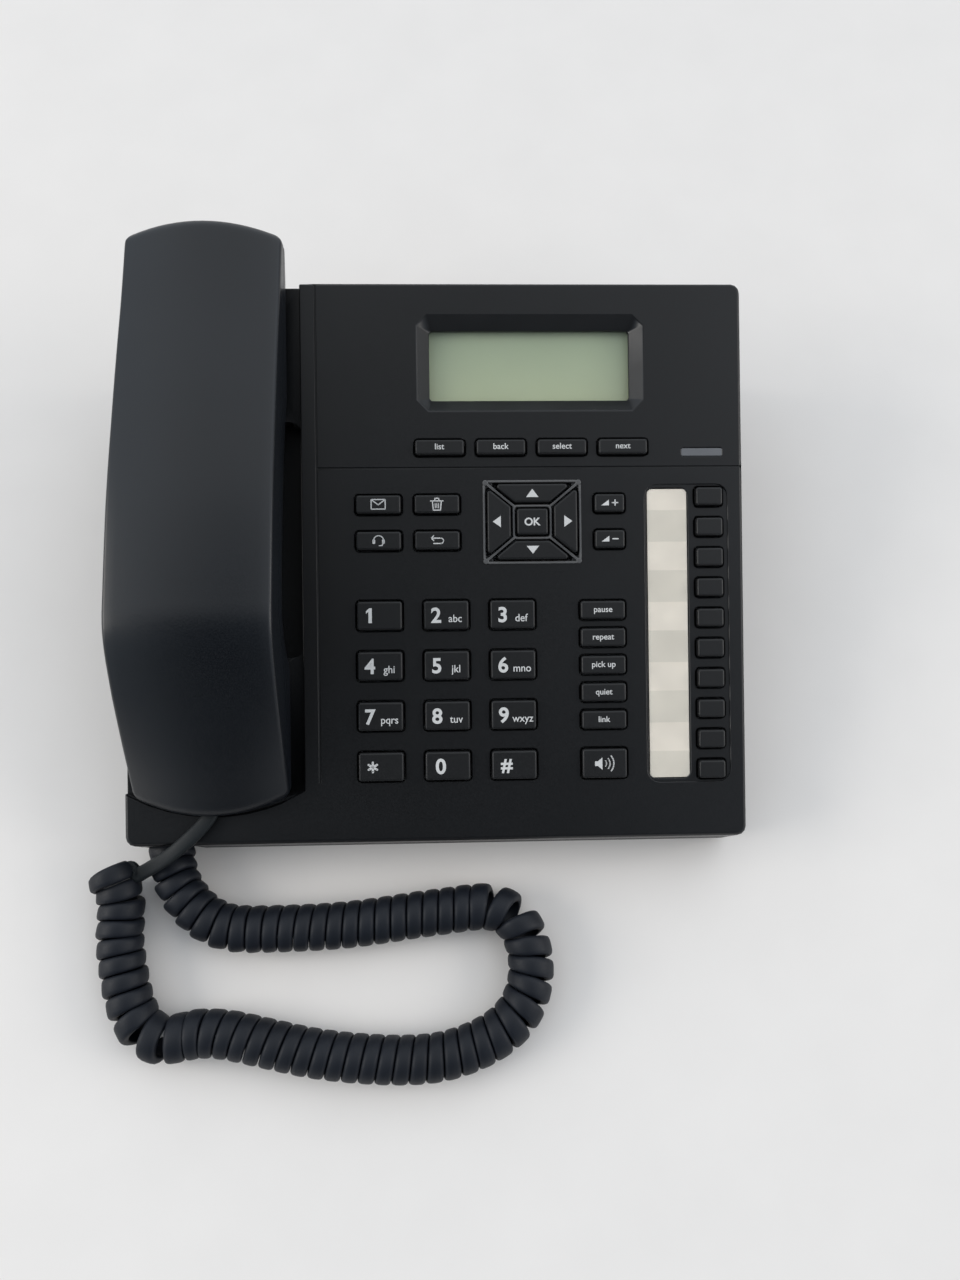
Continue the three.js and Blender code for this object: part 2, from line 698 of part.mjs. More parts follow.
// The winding turns back on itself where the cord kinks, so its two parts coil opposite ways
const reversal = 60.2;
const turnBack = { reach: 2.1, angle: 0.75 * Math.PI };
// Lean of the curls seen from above, in degrees, by distance along the cord
const curlLean = [[48, 3], [62, 0], [290, 0], [318, 10], [335, 15]];
const leadRoute = [
  [29.9, 13.4, 29.9], [29.2, 10.6, 29.6], [27.4, 7.4, 29.1], [24.2, 4, 28.5], [19.6, 0.6, 27.7],
  [14.6, -2.4, 25.6], [9.4, -4.2, 22.6],
];
const firstCurlRise = 2.2;
const firstCurlGrow = 1.3;
const easeTurns = 1.5;
const leadJoint = 7.5;
const coilStart = 3;

const coilHeight = coilDiameter / 2 + cordClearance;
const coilRadius = (coilDiameter - strap.thickness) / 2;
const coilAxis = new THREE.CatmullRomCurve3(cordRoute.map(([x, y]) => new THREE.Vector3(x, y, coilHeight)),
  false, 'centripetal');
const axisLength = coilAxis.getLength();
const cordEnd = new THREE.Vector3(cordRoute[cordRoute.length - 1][0], pocket.depth - plug.proud, coilHeight);
const up = new THREE.Vector3(0, 0, 1);

function axisFrame(distance) {
  const t = THREE.MathUtils.clamp(distance / axisLength, 0, 1);
  const tangent = coilAxis.getTangentAt(t);
  const side = new THREE.Vector3().crossVectors(tangent, up).normalize();
  const centre = coilAxis.getPointAt(t).addScaledVector(tangent, distance - t * axisLength);
  return { centre, tangent, side };
}

// A bend squeezes the curls on its inside, so their spacing along the axis widens with the bend
function localPitch(distance) {
  const lean = THREE.MathUtils.degToRad(along(curlLean, distance));
  if (Math.abs(distance - reversal) < coilPitch) return coilPitch / Math.cos(lean);
  const window = 1.5 * coilPitch;
  const before = axisFrame(Math.max(distance - window, 0)).tangent;
  const after = axisFrame(Math.min(distance + window, axisLength)).tangent;
  const bend = before.angleTo(after) / (2 * window);
  const squeezed = (strap.width + curlGap) / (1 - Math.min(bend * coilDiameter / 2, 0.6));
  return Math.max(coilPitch, squeezed) / Math.cos(lean);
}

function curl(distance, angle, radius = coilRadius, rise = 0) {
  const { centre, side } = axisFrame(distance);
  const across = side.clone().applyAxisAngle(up, THREE.MathUtils.degToRad(along(curlLean, distance)));
  const out = across.clone().multiplyScalar(Math.sin(angle)).addScaledVector(up, Math.cos(angle));
  return { point: centre.clone().addScaledVector(out, radius).addScaledVector(up, rise), out, across };
}

function firstCurls(distance, angle) {
  const nearStart = Math.max(0, 1 - distance / (easeTurns * coilPitch));
  return curl(distance, angle, coilRadius + firstCurlGrow * nearStart, (firstCurlRise + firstCurlGrow) * nearStart);
}

function coilCurve() {
  const step = (2 * Math.PI) / coilSteps;
  const before = [];
  let distance = reversal - turnBack.reach;
  let angle = turnBack.angle;
  while (distance > coilStart || Math.cos(angle) < 1 - 1e-6) {
    before.unshift(firstCurls(distance, angle));
    distance -= localPitch(distance) / coilSteps;
    angle -= step;
  }
  before.unshift(firstCurls(distance, angle));
  const bend = [1, 2, 3].map((i) => {
    const around = (Math.PI * i) / 4;
    return curl(reversal - turnBack.reach * Math.cos(around),
      turnBack.angle + (turnBack.reach * Math.sin(around)) / coilRadius);
  });
  const after = [];
  distance = reversal + turnBack.reach;
  angle = turnBack.angle;
  while (distance < axisLength - coilPitch / 2) {
    after.push(curl(distance, angle));
    distance += localPitch(distance) / coilSteps;
    angle -= step;
  }
  const easeSteps = 5;
  for (let i = 1; i <= easeSteps; i += 1) {
    after.push(curl(distance, angle, coilRadius * (1 - (i / easeSteps) ** 2)));
    distance += coilPitch / coilSteps;
    angle -= step;
  }
  return [...before, ...bend, ...after];
}

function strapSection(width, thickness) {
  return [[-0.5, -0.45], [0.5, -0.45], [0.5, 0.25], [0, 0.5], [-0.5, 0.25]]
    .map(([x, y]) => new THREE.Vector2(x * width, y * thickness));
}

function sweep(curve, section) {
  const rings = curve.map(({ point, out }, i) => {
    const next = curve[Math.min(i + 1, curve.length - 1)].point;
    const before = curve[Math.max(i - 1, 0)].point;
    const tangent = next.clone().sub(before).normalize();
    const normal = out.clone().addScaledVector(tangent, -out.dot(tangent)).normalize();
    const across = new THREE.Vector3().crossVectors(tangent, normal);
    return section.map(({ x, y }) => point.clone().addScaledVector(across, -x).addScaledVector(normal, y));
  });
  return { rings, geometry: loft(rings) };
}

// Least distance between stretches of the cord that lie a half turn or more apart along it
function leastGap(rings) {
  const dense = rings.map((ring) => ring.flatMap((point, i) => {
    const next = ring[(i + 1) % ring.length];
    return [point, point.clone().lerp(next, 0.5)];
  }));
  let least = Infinity;
  for (let i = 0; i < dense.length; i += 1) {
    for (let j = i + 4; j < dense.length; j += 1) {
      if (dense[i][0].distanceTo(dense[j][0]) < 3 * strap.width) {
        dense[i].forEach((a) => dense[j].forEach((b) => {
          least = Math.min(least, a.distanceTo(b));
        }));
      }
    }
  }
  return least;
}

function curlyCord() {
  const curve = coilCurve();
  const first = curve[0];
  const heading = first.across.clone().negate();
  const start = { point: first.point.clone().addScaledVector(heading, leadJoint), out: first.out };
  const end = { point: cordEnd.clone().setY(cordEnd.y - gap), out: up };
  const straight = { point: end.point.clone().setY(end.point.y - strap.width), out: up };
  const path = [start, ...curve, straight, end];
  const { rings, geometry } = sweep(path, strapSection(strap.width, strap.thickness));
  const turns = (curve.length - 4) / coilSteps;
  console.log(`curly cord: ${turns.toFixed(1)} curls, least gap to itself ${leastGap(rings).toFixed(2)} mm`);
  return { geometry, start: start.point, heading };
}

function handsetLead(meet, heading) {
  const nearEnd = meet.clone().addScaledVector(heading, gap);
  const before = meet.clone().addScaledVector(heading, strap.width);
  const exitPoint = new THREE.Vector3(handsetX, plugFront + plug.clearance - gap, plugHeight)
    .applyMatrix4(panelMatrix);
  const points = [exitPoint, ...leadRoute.map((values) => new THREE.Vector3(...values)), before, nearEnd];
  const route = new THREE.CatmullRomCurve3(points, false, 'centripetal');
  const steps = 16;
  const curve = Array.from({ length: steps + 1 }, (_, i) => ({ point: route.getPointAt(i / steps), out: up }));
  console.log(`handset lead: ${route.getLength().toFixed(0)} mm`);
  const corner = strap.thickness * 0.35;
  const section = roundRectangle(strap.width, strap.thickness, corner, 1).map(({ x, y }) => new THREE.Vector2(x, y));
  return sweep(curve, section).geometry;
}

// Assembly

const phone = new THREE.Group();
const panel = new THREE.Group();
panel.applyMatrix4(panelMatrix);
phone.add(panel);

function place(parent, name, geometry, material, x = 0, y = 0, z = 0) {
  const mesh = new THREE.Mesh(geometry, material);
  mesh.name = name;
  mesh.position.set(x, y, z);
  parent.add(mesh);
  return mesh;
}

function solidNode(parent, name, solid, material) {
  return place(parent, name, toGeometry(solid), material);
}

solidNode(phone, 'upper_housing', upperHousing(), housingPlastic());
solidNode(phone, 'lower_housing', lowerHousing(), housingPlastic());
keys.forEach((key) => place(panel, key.name, keyGeometry(key), keyPlastic(), key.x, key.y));

const shells = handsetShells();
solidNode(panel, 'handset_outer_shell', shells.outer, housingPlastic());
solidNode(panel, 'handset_inner_shell', shells.inner, housingPlastic());

function disc(radius, thickness, name, y) {
  const geometry = new THREE.CylinderGeometry(radius, radius, thickness, 20).rotateX(Math.PI / 2);
  const bottom = restHeight - block.drop + shellWall + gap;
  place(panel, name, geometry, metal(), handsetX, y, bottom + thickness / 2);
}
disc(receiver.radius, receiver.thickness, 'receiver_capsule', earBlock.place);
disc(microphone.radius, microphone.thickness, 'microphone_capsule', mouthBlock.place);

// Display
const windowTop = -displayDepth - displayFloor - gap;
const moduleTop = windowTop - windowThickness - gap;
place(panel, 'display_window', slab(cutCornerOutline(displayGlass, windowLap), windowTop - windowThickness, windowTop),
  finish(0x8f9a80, 0.15));
place(panel, 'lcd_module', slab(cutCornerOutline(displayGlass, moduleLap), moduleTop - moduleThickness, moduleTop),
  finish(0x8f9a80, 0.4));

// Lamp, label card, mat and board
function lampGeometry() {
  const cap = rectangle(lampHole.width - 2 * gap, lampHole.length - 2 * gap);
  const shoulder = -panelThickness - gap;
  const lip = insetOutline(cap, -2 * gap);
  return loft([ringAt(cap, matTop + gap), ringAt(cap, shoulder - lipThickness), ringAt(lip, shoulder - lipThickness),
    ringAt(lip, shoulder), ringAt(cap, shoulder), ringAt(cap, -lampSink)]);
}
place(panel, 'message_lamp', lampGeometry(), finish(0x5f616b, 0.3), memoryX + lampShift, grooveY + lampGap);
place(panel, 'label_card', slab(roundRectangle(label.width - 2 * gap, label.length - 2 * gap, label.corner - gap, 3),
  0, label.thickness), finish(0xd4cec0, 0.7), labelX, memoryMiddle, -inset.depth - label.depth + gap);

function keyMat() {
  const sheet = tower(rectangle(mat.right - mat.left, mat.rear - mat.front, (mat.left + mat.right) / 2,
    (mat.front + mat.rear) / 2), matTop - matThickness, matTop);
  const centres = keys.map(({ cap, x, y }) => cap.reduce((sum, point) => sum.add(point), new THREE.Vector2())
    .divideScalar(cap.length).add(new THREE.Vector2(x, y)));
  const domes = centres.map(({ x, y }) => toSolid(loft([
    ringAt(polygon(domeRadius, 6, x, y), matTop - matThickness / 2),
    ringAt(polygon(domeRadius, 6, x, y), matTop),
    ringAt(polygon(domeRadius * 0.7, 6, x, y), matTop + domeHeight),
  ])));
  return addAll(sheet, domes);
}
solidNode(panel, 'key_mat', keyMat(), finish(0x8d9091, 0.8));
place(panel, 'circuit_board', slab(roundRectangle(board.right - board.left, board.rear - board.front, 2, 2,
  (board.left + board.right) / 2, (board.front + board.rear) / 2), boardTop - boardThickness, boardTop),
finish(0x1f5a35, 0.5));

// Hook switch, pressed down by the handset
function hookSwitch() {
  const top = -wellDepth;
  const under = -hookFloor - panelThickness - hook.travel - gap;
  return loft([
    ringAt(hookOutline(hook.lip), under - hook.thickness),
    ringAt(hookOutline(hook.lip), under),
    ringAt(hookOutline(0), under),
    ringAt(hookOutline(0), top),
  ]);
}
place(panel, 'hook_switch', hookSwitch(), keyPlastic());

// Cord with its plugs
const cord = curlyCord();
place(phone, 'curly_cord', cord.geometry, cordPlastic());
place(phone, 'handset_lead', handsetLead(cord.start, cord.heading), cordPlastic());
const plugSize = [plug.width, plug.length, plug.height];
place(panel, 'handset_plug', new THREE.BoxGeometry(...plugSize), finish(0x3a3d40, 0.3),
  handsetX, plugFront + plug.clearance + plug.length / 2, plugHeight);
place(phone, 'base_plug', new THREE.BoxGeometry(...plugSize), finish(0x3a3d40, 0.3),
  cordEnd.x, cordEnd.y + plug.length / 2, cordEnd.z);

// The origin is on the table, under the middle of the base and handset
const cordNames = ['curly_cord', 'handset_lead', 'handset_plug', 'base_plug'];
const bounds = new THREE.Box3();
phone.updateMatrixWorld(true);
phone.traverse((object) => {
  if (object.isMesh && !cordNames.includes(object.name)) bounds.expandByObject(object, true);
});
const middle = bounds.getCenter(new THREE.Vector3());
phone.position.set(-middle.x, -middle.y, -bounds.min.z);

export default phone;
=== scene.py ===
import math

import bmesh
import bpy
from mathutils import Matrix, Vector


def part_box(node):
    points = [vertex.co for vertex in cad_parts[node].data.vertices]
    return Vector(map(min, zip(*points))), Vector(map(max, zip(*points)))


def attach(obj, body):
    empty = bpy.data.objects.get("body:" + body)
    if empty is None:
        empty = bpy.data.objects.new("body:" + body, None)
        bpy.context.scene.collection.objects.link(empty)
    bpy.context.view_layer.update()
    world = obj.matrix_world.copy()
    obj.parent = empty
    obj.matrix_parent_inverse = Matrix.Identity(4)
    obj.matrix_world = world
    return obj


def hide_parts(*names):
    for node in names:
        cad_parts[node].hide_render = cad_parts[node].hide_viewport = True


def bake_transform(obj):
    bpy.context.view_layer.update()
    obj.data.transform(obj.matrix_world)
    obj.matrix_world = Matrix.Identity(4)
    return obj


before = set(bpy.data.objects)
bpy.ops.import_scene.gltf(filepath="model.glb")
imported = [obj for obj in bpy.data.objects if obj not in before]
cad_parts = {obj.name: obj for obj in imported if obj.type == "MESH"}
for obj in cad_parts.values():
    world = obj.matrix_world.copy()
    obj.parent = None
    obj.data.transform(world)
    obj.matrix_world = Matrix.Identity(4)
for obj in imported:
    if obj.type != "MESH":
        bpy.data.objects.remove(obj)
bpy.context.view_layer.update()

MM = 0.001
SLOPE = math.radians(14)
FRONT_HEIGHT = 25
FOOT_HEIGHT = 2
BASE_WIDTH = 209.4
PANEL_LENGTH = 188.2
BASE_DEPTH = PANEL_LENGTH * math.cos(SLOPE)
PANEL_THICKNESS = 2.4
GAP = 0.3

left_edge, front_edge = (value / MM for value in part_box("upper_housing")[0][:2])
to_world = Matrix.Scale(MM, 4) @ Matrix.Translation((left_edge, front_edge, 0))
to_panel = to_world @ Matrix.Translation((0, 0, FRONT_HEIGHT)) @ Matrix.Rotation(SLOPE, 4, "X")
from_world = to_world.inverted()
from_panel = to_panel.inverted()

# Camera and lights. The camera's place is in millimetres from the base's left front corner, and the lights'
# places and sizes are in metres
CAMERA_PLACE = (108.1, -13.955, 355.439)
CAMERA_TURNS = (("X", 14.1745), ("Y", -1.9692), ("Z", -0.6892))
PHOTO_FOCAL = 960
PHOTO_HEIGHT = 1280
SENSOR_WIDTH = 36
NEAR_CLIP = 0.01
LIGHT_AWAY = 1.5
LIGHT_FORWARD = -0.1
LIGHT_HEIGHT = 0.85
LIGHT_SIZE = (0.9, 0.7)
LEFT_POWER = 11
RIGHT_POWER = 7.4
WARM = (1, 0.95, 0.89)
SKY_STRENGTH = 1.16
BLACK = (0, 0, 0)
WHITE = (1, 1, 1)


def add_object(name, data):
    item = bpy.data.objects.new(name, data)
    bpy.context.collection.objects.link(item)
    return item


def add_camera():
    data = bpy.data.cameras.new("camera")
    data.sensor_width = SENSOR_WIDTH
    data.lens = SENSOR_WIDTH * PHOTO_FOCAL / PHOTO_HEIGHT
    data.clip_start = NEAR_CLIP
    camera = add_object("camera", data)
    turn = Matrix.Identity(4)
    for axis, degrees in CAMERA_TURNS:
        turn = turn @ Matrix.Rotation(math.radians(degrees), 4, axis)
    camera.matrix_world = Matrix.Translation(to_world @ Vector(CAMERA_PLACE)) @ turn
    bpy.context.scene.camera = camera


def add_light(name, side, power):
    """A warm panel on one side of the telephone, turned to it."""
    data = bpy.data.lights.new(name, "AREA")
    data.shape = "RECTANGLE"
    data.size, data.size_y = LIGHT_SIZE
    data.energy = power
    data.color = WARM
    light = add_object(name, data)
    place = Vector((side * LIGHT_AWAY, LIGHT_FORWARD, LIGHT_HEIGHT))
    light.location = place
    light.rotation_euler = (-place).to_track_quat("-Z", "Y").to_euler()


def add_studio():
    """Bright walls behind and beside the telephone, with a dim ceiling and a dim room before it."""
    world = bpy.data.worlds.new("studio")
    bpy.context.scene.world = world
    world.use_nodes = True
    nodes = world.node_tree.nodes
    links = world.node_tree.links
    direction = nodes.new("ShaderNodeTexCoord")
    split = nodes.new("ShaderNodeSeparateXYZ")
    links.new(direction.outputs["Generated"], split.inputs["Vector"])

    def along(axis, stops):
        """Brightness by direction: 0 is wholly against the axis, 1 wholly along it."""
        shift = nodes.new("ShaderNodeMapRange")
        shift.inputs["From Min"].default_value = -1
        links.new(split.outputs[axis], shift.inputs["Value"])
        return add_ramp(nodes, links, shift.outputs["Result"], stops)

    def blend(mode, a, b):
        return add_mix(nodes, links, mode, a, b)

    dim = shade(WHITE, 0.4)
    left = (0.42, 0.49, 0.57)
    far_left = (0.76, 0.84, 0.93)
    right = (0.5, 0.55, 0.62)
    far_right = (0.62, 0.68, 0.75)
    horizon = along("Z", [(0.5, (0.5, 0.53, 0.57)), (0.6, BLACK)])
    rear = along("Y", [(0.36, (0.04, 0.045, 0.05)), (0.47, (0.38, 0.39, 0.4)), (0.58, (0.78, 0.81, 0.84)),
                       (1, (0.8, 0.85, 0.9))])
    sides = along("X", [(0, far_left), (0.2, left), (0.36, BLACK), (0.56, BLACK), (0.76, right),
                        (1, far_right)])
    above = along("Z", [(0.52, shade(WHITE, 0.15)), (0.64, WHITE)])
    middle = along("X", [(0.1, BLACK), (0.3, WHITE), (0.7, WHITE), (0.9, BLACK)])
    ceiling = blend("LIGHTEN", along("X", [(0.4, WHITE), (0.46, dim), (0.54, dim), (0.6, WHITE)]),
                    along("Y", [(0.55, dim), (0.66, WHITE)]))
    background = nodes["Background"]
    lit = blend("ADD", blend("MULTIPLY", rear, middle), blend("MULTIPLY", sides, above))
    lit = blend("LIGHTEN", lit, horizon)
    links.new(blend("MULTIPLY", lit, ceiling), background.inputs["Color"])
    background.inputs["Strength"].default_value = SKY_STRENGTH
    add_light("left_panel", -1, LEFT_POWER)
    add_light("right_panel", 1, RIGHT_POWER)
    bpy.context.scene.view_settings.view_transform = "Standard"


# Materials
GRAIN_SIZE = 0.5
GRAIN_DEPTH = 0.05
ROUGHNESS_RANGE = 0.06
POLISH_RANGE = 0.15
TONE_RANGE = 0.06


def node_material(name):
    material = bpy.data.materials.new(name)
    material.use_nodes = True
    nodes = material.node_tree.nodes
    return material, nodes, material.node_tree.links, nodes["Principled BSDF"]


def add_noise(nodes, links, size, detail):
    """Cloudy pattern whose patches have about that size in millimetres."""
    where = nodes.new("ShaderNodeTexCoord")
    noise = nodes.new("ShaderNodeTexNoise")
    noise.inputs["Scale"].default_value = 1 / (size * MM)
    noise.inputs["Detail"].default_value = detail
    links.new(where.outputs["Object"], noise.inputs["Vector"])
    return noise.outputs["Fac"]


def add_ramp(nodes, links, value, stops):
    ramp = nodes.new("ShaderNodeValToRGB")
    elements = ramp.color_ramp.elements
    for element, (position, color) in zip(elements, (stops[0], stops[-1])):
        element.position = position
        element.color = (*color, 1)
    for position, color in stops[1:-1]:
        elements.new(position).color = (*color, 1)
    links.new(value, ramp.inputs["Fac"])
    return ramp.outputs["Color"]


def add_mottle(nodes, links, clouds, low, high):
    """One colour in the pattern's hollows and the other on its hills."""
    return add_ramp(nodes, links, clouds, [(0.3, low), (0.7, high)])


def add_mix(nodes, links, mode, a, b):
    mix = nodes.new("ShaderNodeMix")
    mix.data_type = "RGBA"
    mix.blend_type = mode
    mix.inputs["Factor"].default_value = 1
    links.new(a, mix.inputs["A"])
    links.new(b, mix.inputs["B"])
    return mix.outputs["Result"]


def shade(color, factor):
    return tuple(min(1, value * factor) for value in color)


def moulded(name, color, roughness, grain=0.35, variation=0.12, edge_wear_and_sheen=1.6, gloss=0.5):
    """Moulded plastic: cloudy tone, fine grain, and sharp edges painted lighter, partly as wear and partly as
    a painted edge highlight.
    """
    material, nodes, links, surface = node_material(name)
    clouds = add_noise(nodes, links, 30, 4)
    tone = add_mottle(nodes, links, clouds, shade(color, 1 - variation), shade(color, 1 + variation))
    # Sharp convex edges get a lighter colour: partly wear, partly a painted edge highlight.
    geometry = nodes.new("ShaderNodeNewGeometry")
    edge = add_ramp(nodes, links, geometry.outputs["Pointiness"], [(0.52, BLACK), (0.6, WHITE)])
    mix = nodes.new("ShaderNodeMix")
    mix.data_type = "RGBA"
    mix.inputs["B"].default_value = (*shade(color, edge_wear_and_sheen), 1)
    links.new(edge, mix.inputs["Factor"])
    links.new(tone, mix.inputs["A"])
    links.new(mix.outputs["Result"], surface.inputs["Base Color"])
    fine = add_noise(nodes, links, GRAIN_SIZE, 3)
    rough = add_mottle(nodes, links, fine, shade(WHITE, roughness - ROUGHNESS_RANGE),
                       shade(WHITE, roughness + ROUGHNESS_RANGE))
    links.new(rough, surface.inputs["Roughness"])
    surface.inputs["Specular IOR Level"].default_value = gloss
    bump = nodes.new("ShaderNodeBump")
    bump.inputs["Strength"].default_value = grain
    bump.inputs["Distance"].default_value = GRAIN_DEPTH * MM
    links.new(fine, bump.inputs["Height"])
    links.new(bump.outputs["Normal"], surface.inputs["Normal"])
    return material


def glossy(name, color, roughness, coat=0.0, metallic=0.0, alpha=1.0):
    """Smooth plastic, paint or metal whose tone and polish vary a little."""
    material, nodes, links, surface = node_material(name)
    clouds = add_noise(nodes, links, 12, 3)
    tone = add_mottle(nodes, links, clouds, shade(color, 1 - TONE_RANGE), shade(color, 1 + TONE_RANGE))
    links.new(tone, surface.inputs["Base Color"])
    rough = add_mottle(nodes, links, clouds, shade(WHITE, roughness * (1 - POLISH_RANGE)),
                       shade(WHITE, roughness * (1 + POLISH_RANGE)))
    links.new(rough, surface.inputs["Roughness"])
    surface.inputs["Metallic"].default_value = metallic
    surface.inputs["Coat Weight"].default_value = coat
    surface.inputs["Coat Roughness"].default_value = 0.08
    surface.inputs["Alpha"].default_value = alpha
    return material


def liquid_crystal_painted_shade(name, rear, front):
    """Display face painted darker at the rear, as shade under the recess wall, and yellower at the front,
    with a faint cloudy mottle.
    """
    material, nodes, links, surface = node_material(name)
    where = nodes.new("ShaderNodeTexCoord")
    split = nodes.new("ShaderNodeSeparateXYZ")
    links.new(where.outputs["Object"], split.inputs["Vector"])
    low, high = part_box("lcd_module")
    span = nodes.new("ShaderNodeMapRange")
    span.inputs["From Min"].default_value = low.y
    span.inputs["From Max"].default_value = high.y
    links.new(split.outputs["Y"], span.inputs["Value"])
    # Painted shade: the rear colour is darker, where the recess wall shades the display.
    tone = add_ramp(nodes, links, span.outputs["Result"], [(0.1, front), (0.9, rear)])
    clouds = add_noise(nodes, links, 14, 2)
    mottle = add_mottle(nodes, links, clouds, shade(WHITE, 0.96), WHITE)
    links.new(add_mix(nodes, links, "MULTIPLY", tone, mottle), surface.inputs["Base Color"])
    surface.inputs["Roughness"].default_value = 0.4
    return material


HOUSING_COLOR = (0.0042, 0.0045, 0.0052)
housing_plastic = moulded("housing_plastic", HOUSING_COLOR, 0.38, grain=0.3, gloss=0.42)
lower_plastic = moulded("lower_plastic", HOUSING_COLOR, 0.55)
# The ribs' pale grey is a painted highlight, standing in for the light that the ridges catch.
rib_plastic_painted_highlight = moulded("rib_plastic_painted_highlight", (0.085, 0.085, 0.086), 0.42, grain=0.1)
handset_plastic = moulded("handset_plastic", (0.0042, 0.0056, 0.008), 0.34, grain=0.2, gloss=0.48)
# The keys' edges get the strongest lightening, a painted edge highlight along with wear.
key_plastic = moulded("key_plastic", (0.0068, 0.007, 0.0075), 0.42, grain=0.1, edge_wear_and_sheen=2.4, gloss=0.42)
cord_plastic = moulded("cord_plastic", (0.0058, 0.0078, 0.0125), 0.55, grain=0.12, variation=0.2, edge_wear_and_sheen=1.2,
                       gloss=0.32)
lead_plastic = moulded("lead_plastic", (0.008, 0.0105, 0.012), 0.55, grain=0.08, edge_wear_and_sheen=1.2, gloss=0.3)
legend_paint = glossy("legend_paint", (0.66, 0.66, 0.65), 0.5)
bezel_plastic = glossy("bezel_plastic", (0.006, 0.0066, 0.008), 0.4)
lcd_face_painted_shade = liquid_crystal_painted_shade("lcd_face_painted_shade", (0.3, 0.38, 0.225), (0.4, 0.455, 0.26))
lamp_plastic = glossy("lamp_plastic", (0.13, 0.135, 0.145), 0.34)
card_light = glossy("card_light", (0.82, 0.74, 0.62), 0.6)
card_grey = glossy("card_grey", (0.7, 0.64, 0.53), 0.6)
clear_plastic = glossy("clear_plastic", (0.9, 0.92, 0.95), 0.07, alpha=0.06)
smoky_plastic = glossy("smoky_plastic", (0.3, 0.32, 0.34), 0.12, coat=0.3, alpha=0.55)
mat_rubber = moulded("mat_rubber", (0.2, 0.21, 0.22), 0.8, edge_wear_and_sheen=1.2)
foot_rubber = moulded("foot_rubber", (0.018, 0.018, 0.019), 0.85, grain=0.6)
board_resin = glossy("board_resin", (0.02, 0.16, 0.07), 0.35)
bright_metal = glossy("bright_metal", (0.66, 0.67, 0.68), 0.35, metallic=1.0)
gold_contact = glossy("gold_contact", (0.8, 0.55, 0.2), 0.3, metallic=1.0)
floor_paint = moulded("floor_paint", (0.86, 0.825, 0.79), 0.75, grain=0.05, variation=0.012, edge_wear_and_sheen=1)


# Outlines are lists of (x, y), anticlockwise
ARC_STEPS = 8


def rectangle(width, length, x=0.0, y=0.0):
    return [(x + i * width / 2, y + j * length / 2) for i, j in ((-1, -1), (1, -1), (1, 1), (-1, 1))]


def round_corners(points, radius, steps=5):
    """Each corner becomes an arc. radius may be a list with one radius for each corner."""
    result = []
    for i, corner in enumerate(points):
        size = radius[i] if isinstance(radius, list) else radius
        corner = Vector(corner)
        if size == 0:
            result.append(tuple(corner))
            continue
        before = (Vector(points[i - 1]) - corner).normalized()
        after = (Vector(points[(i + 1) % len(points)]) - corner).normalized()
        half = math.acos(max(-1, min(1, before.dot(after)))) / 2
        centre = corner + (before + after).normalized() * size / math.sin(half)
        start = corner + before * size / math.tan(half) - centre
        for k in range(steps + 1):
            angle = (math.pi - 2 * half) * k / steps
            result.append((centre.x + start.x * math.cos(angle) - start.y * math.sin(angle),
                           centre.y + start.x * math.sin(angle) + start.y * math.cos(angle)))
    return result


def round_rectangle(width, length, radius, x=0.0, y=0.0):
    return round_corners(rectangle(width, length, x, y), radius)


def circle(radius, x=0.0, y=0.0, steps=24):
    turns = [2 * math.pi * i / steps for i in range(steps)]
    return [(x + radius * math.cos(turn), y + radius * math.sin(turn)) for turn in turns]


def arc(x, y, radius, start, end):
    turns = [math.radians(start + (end - start) * i / ARC_STEPS) for i in range(ARC_STEPS + 1)]
    return [(x + radius * math.cos(turn), y + radius * math.sin(turn)) for turn in turns]


def inset_outline(points, distance):
    """The outline with each side moved inwards by that distance."""
    result = []
    for i, corner in enumerate(points):
        corner = Vector(corner)
        before = (corner - Vector(points[i - 1])).normalized()
        after = (Vector(points[(i + 1) % len(points)]) - corner).normalized()
        side = Vector((-before.y - after.y, before.x + after.x)).normalized()
        share = side.x * -before.y + side.y * before.x
        result.append(tuple(corner + side * distance / share))
    return result


def ring_at(outline, height):
    return [Vector((x, y, height)) for x, y in outline]


# Meshes
CAPITAL_SHARE = 0.729
SMOOTH_ANGLE = 35
FLAT_ANGLE = math.radians(1)
NARROW_ANGLE = math.radians(30)
PAD_STEPS = 3


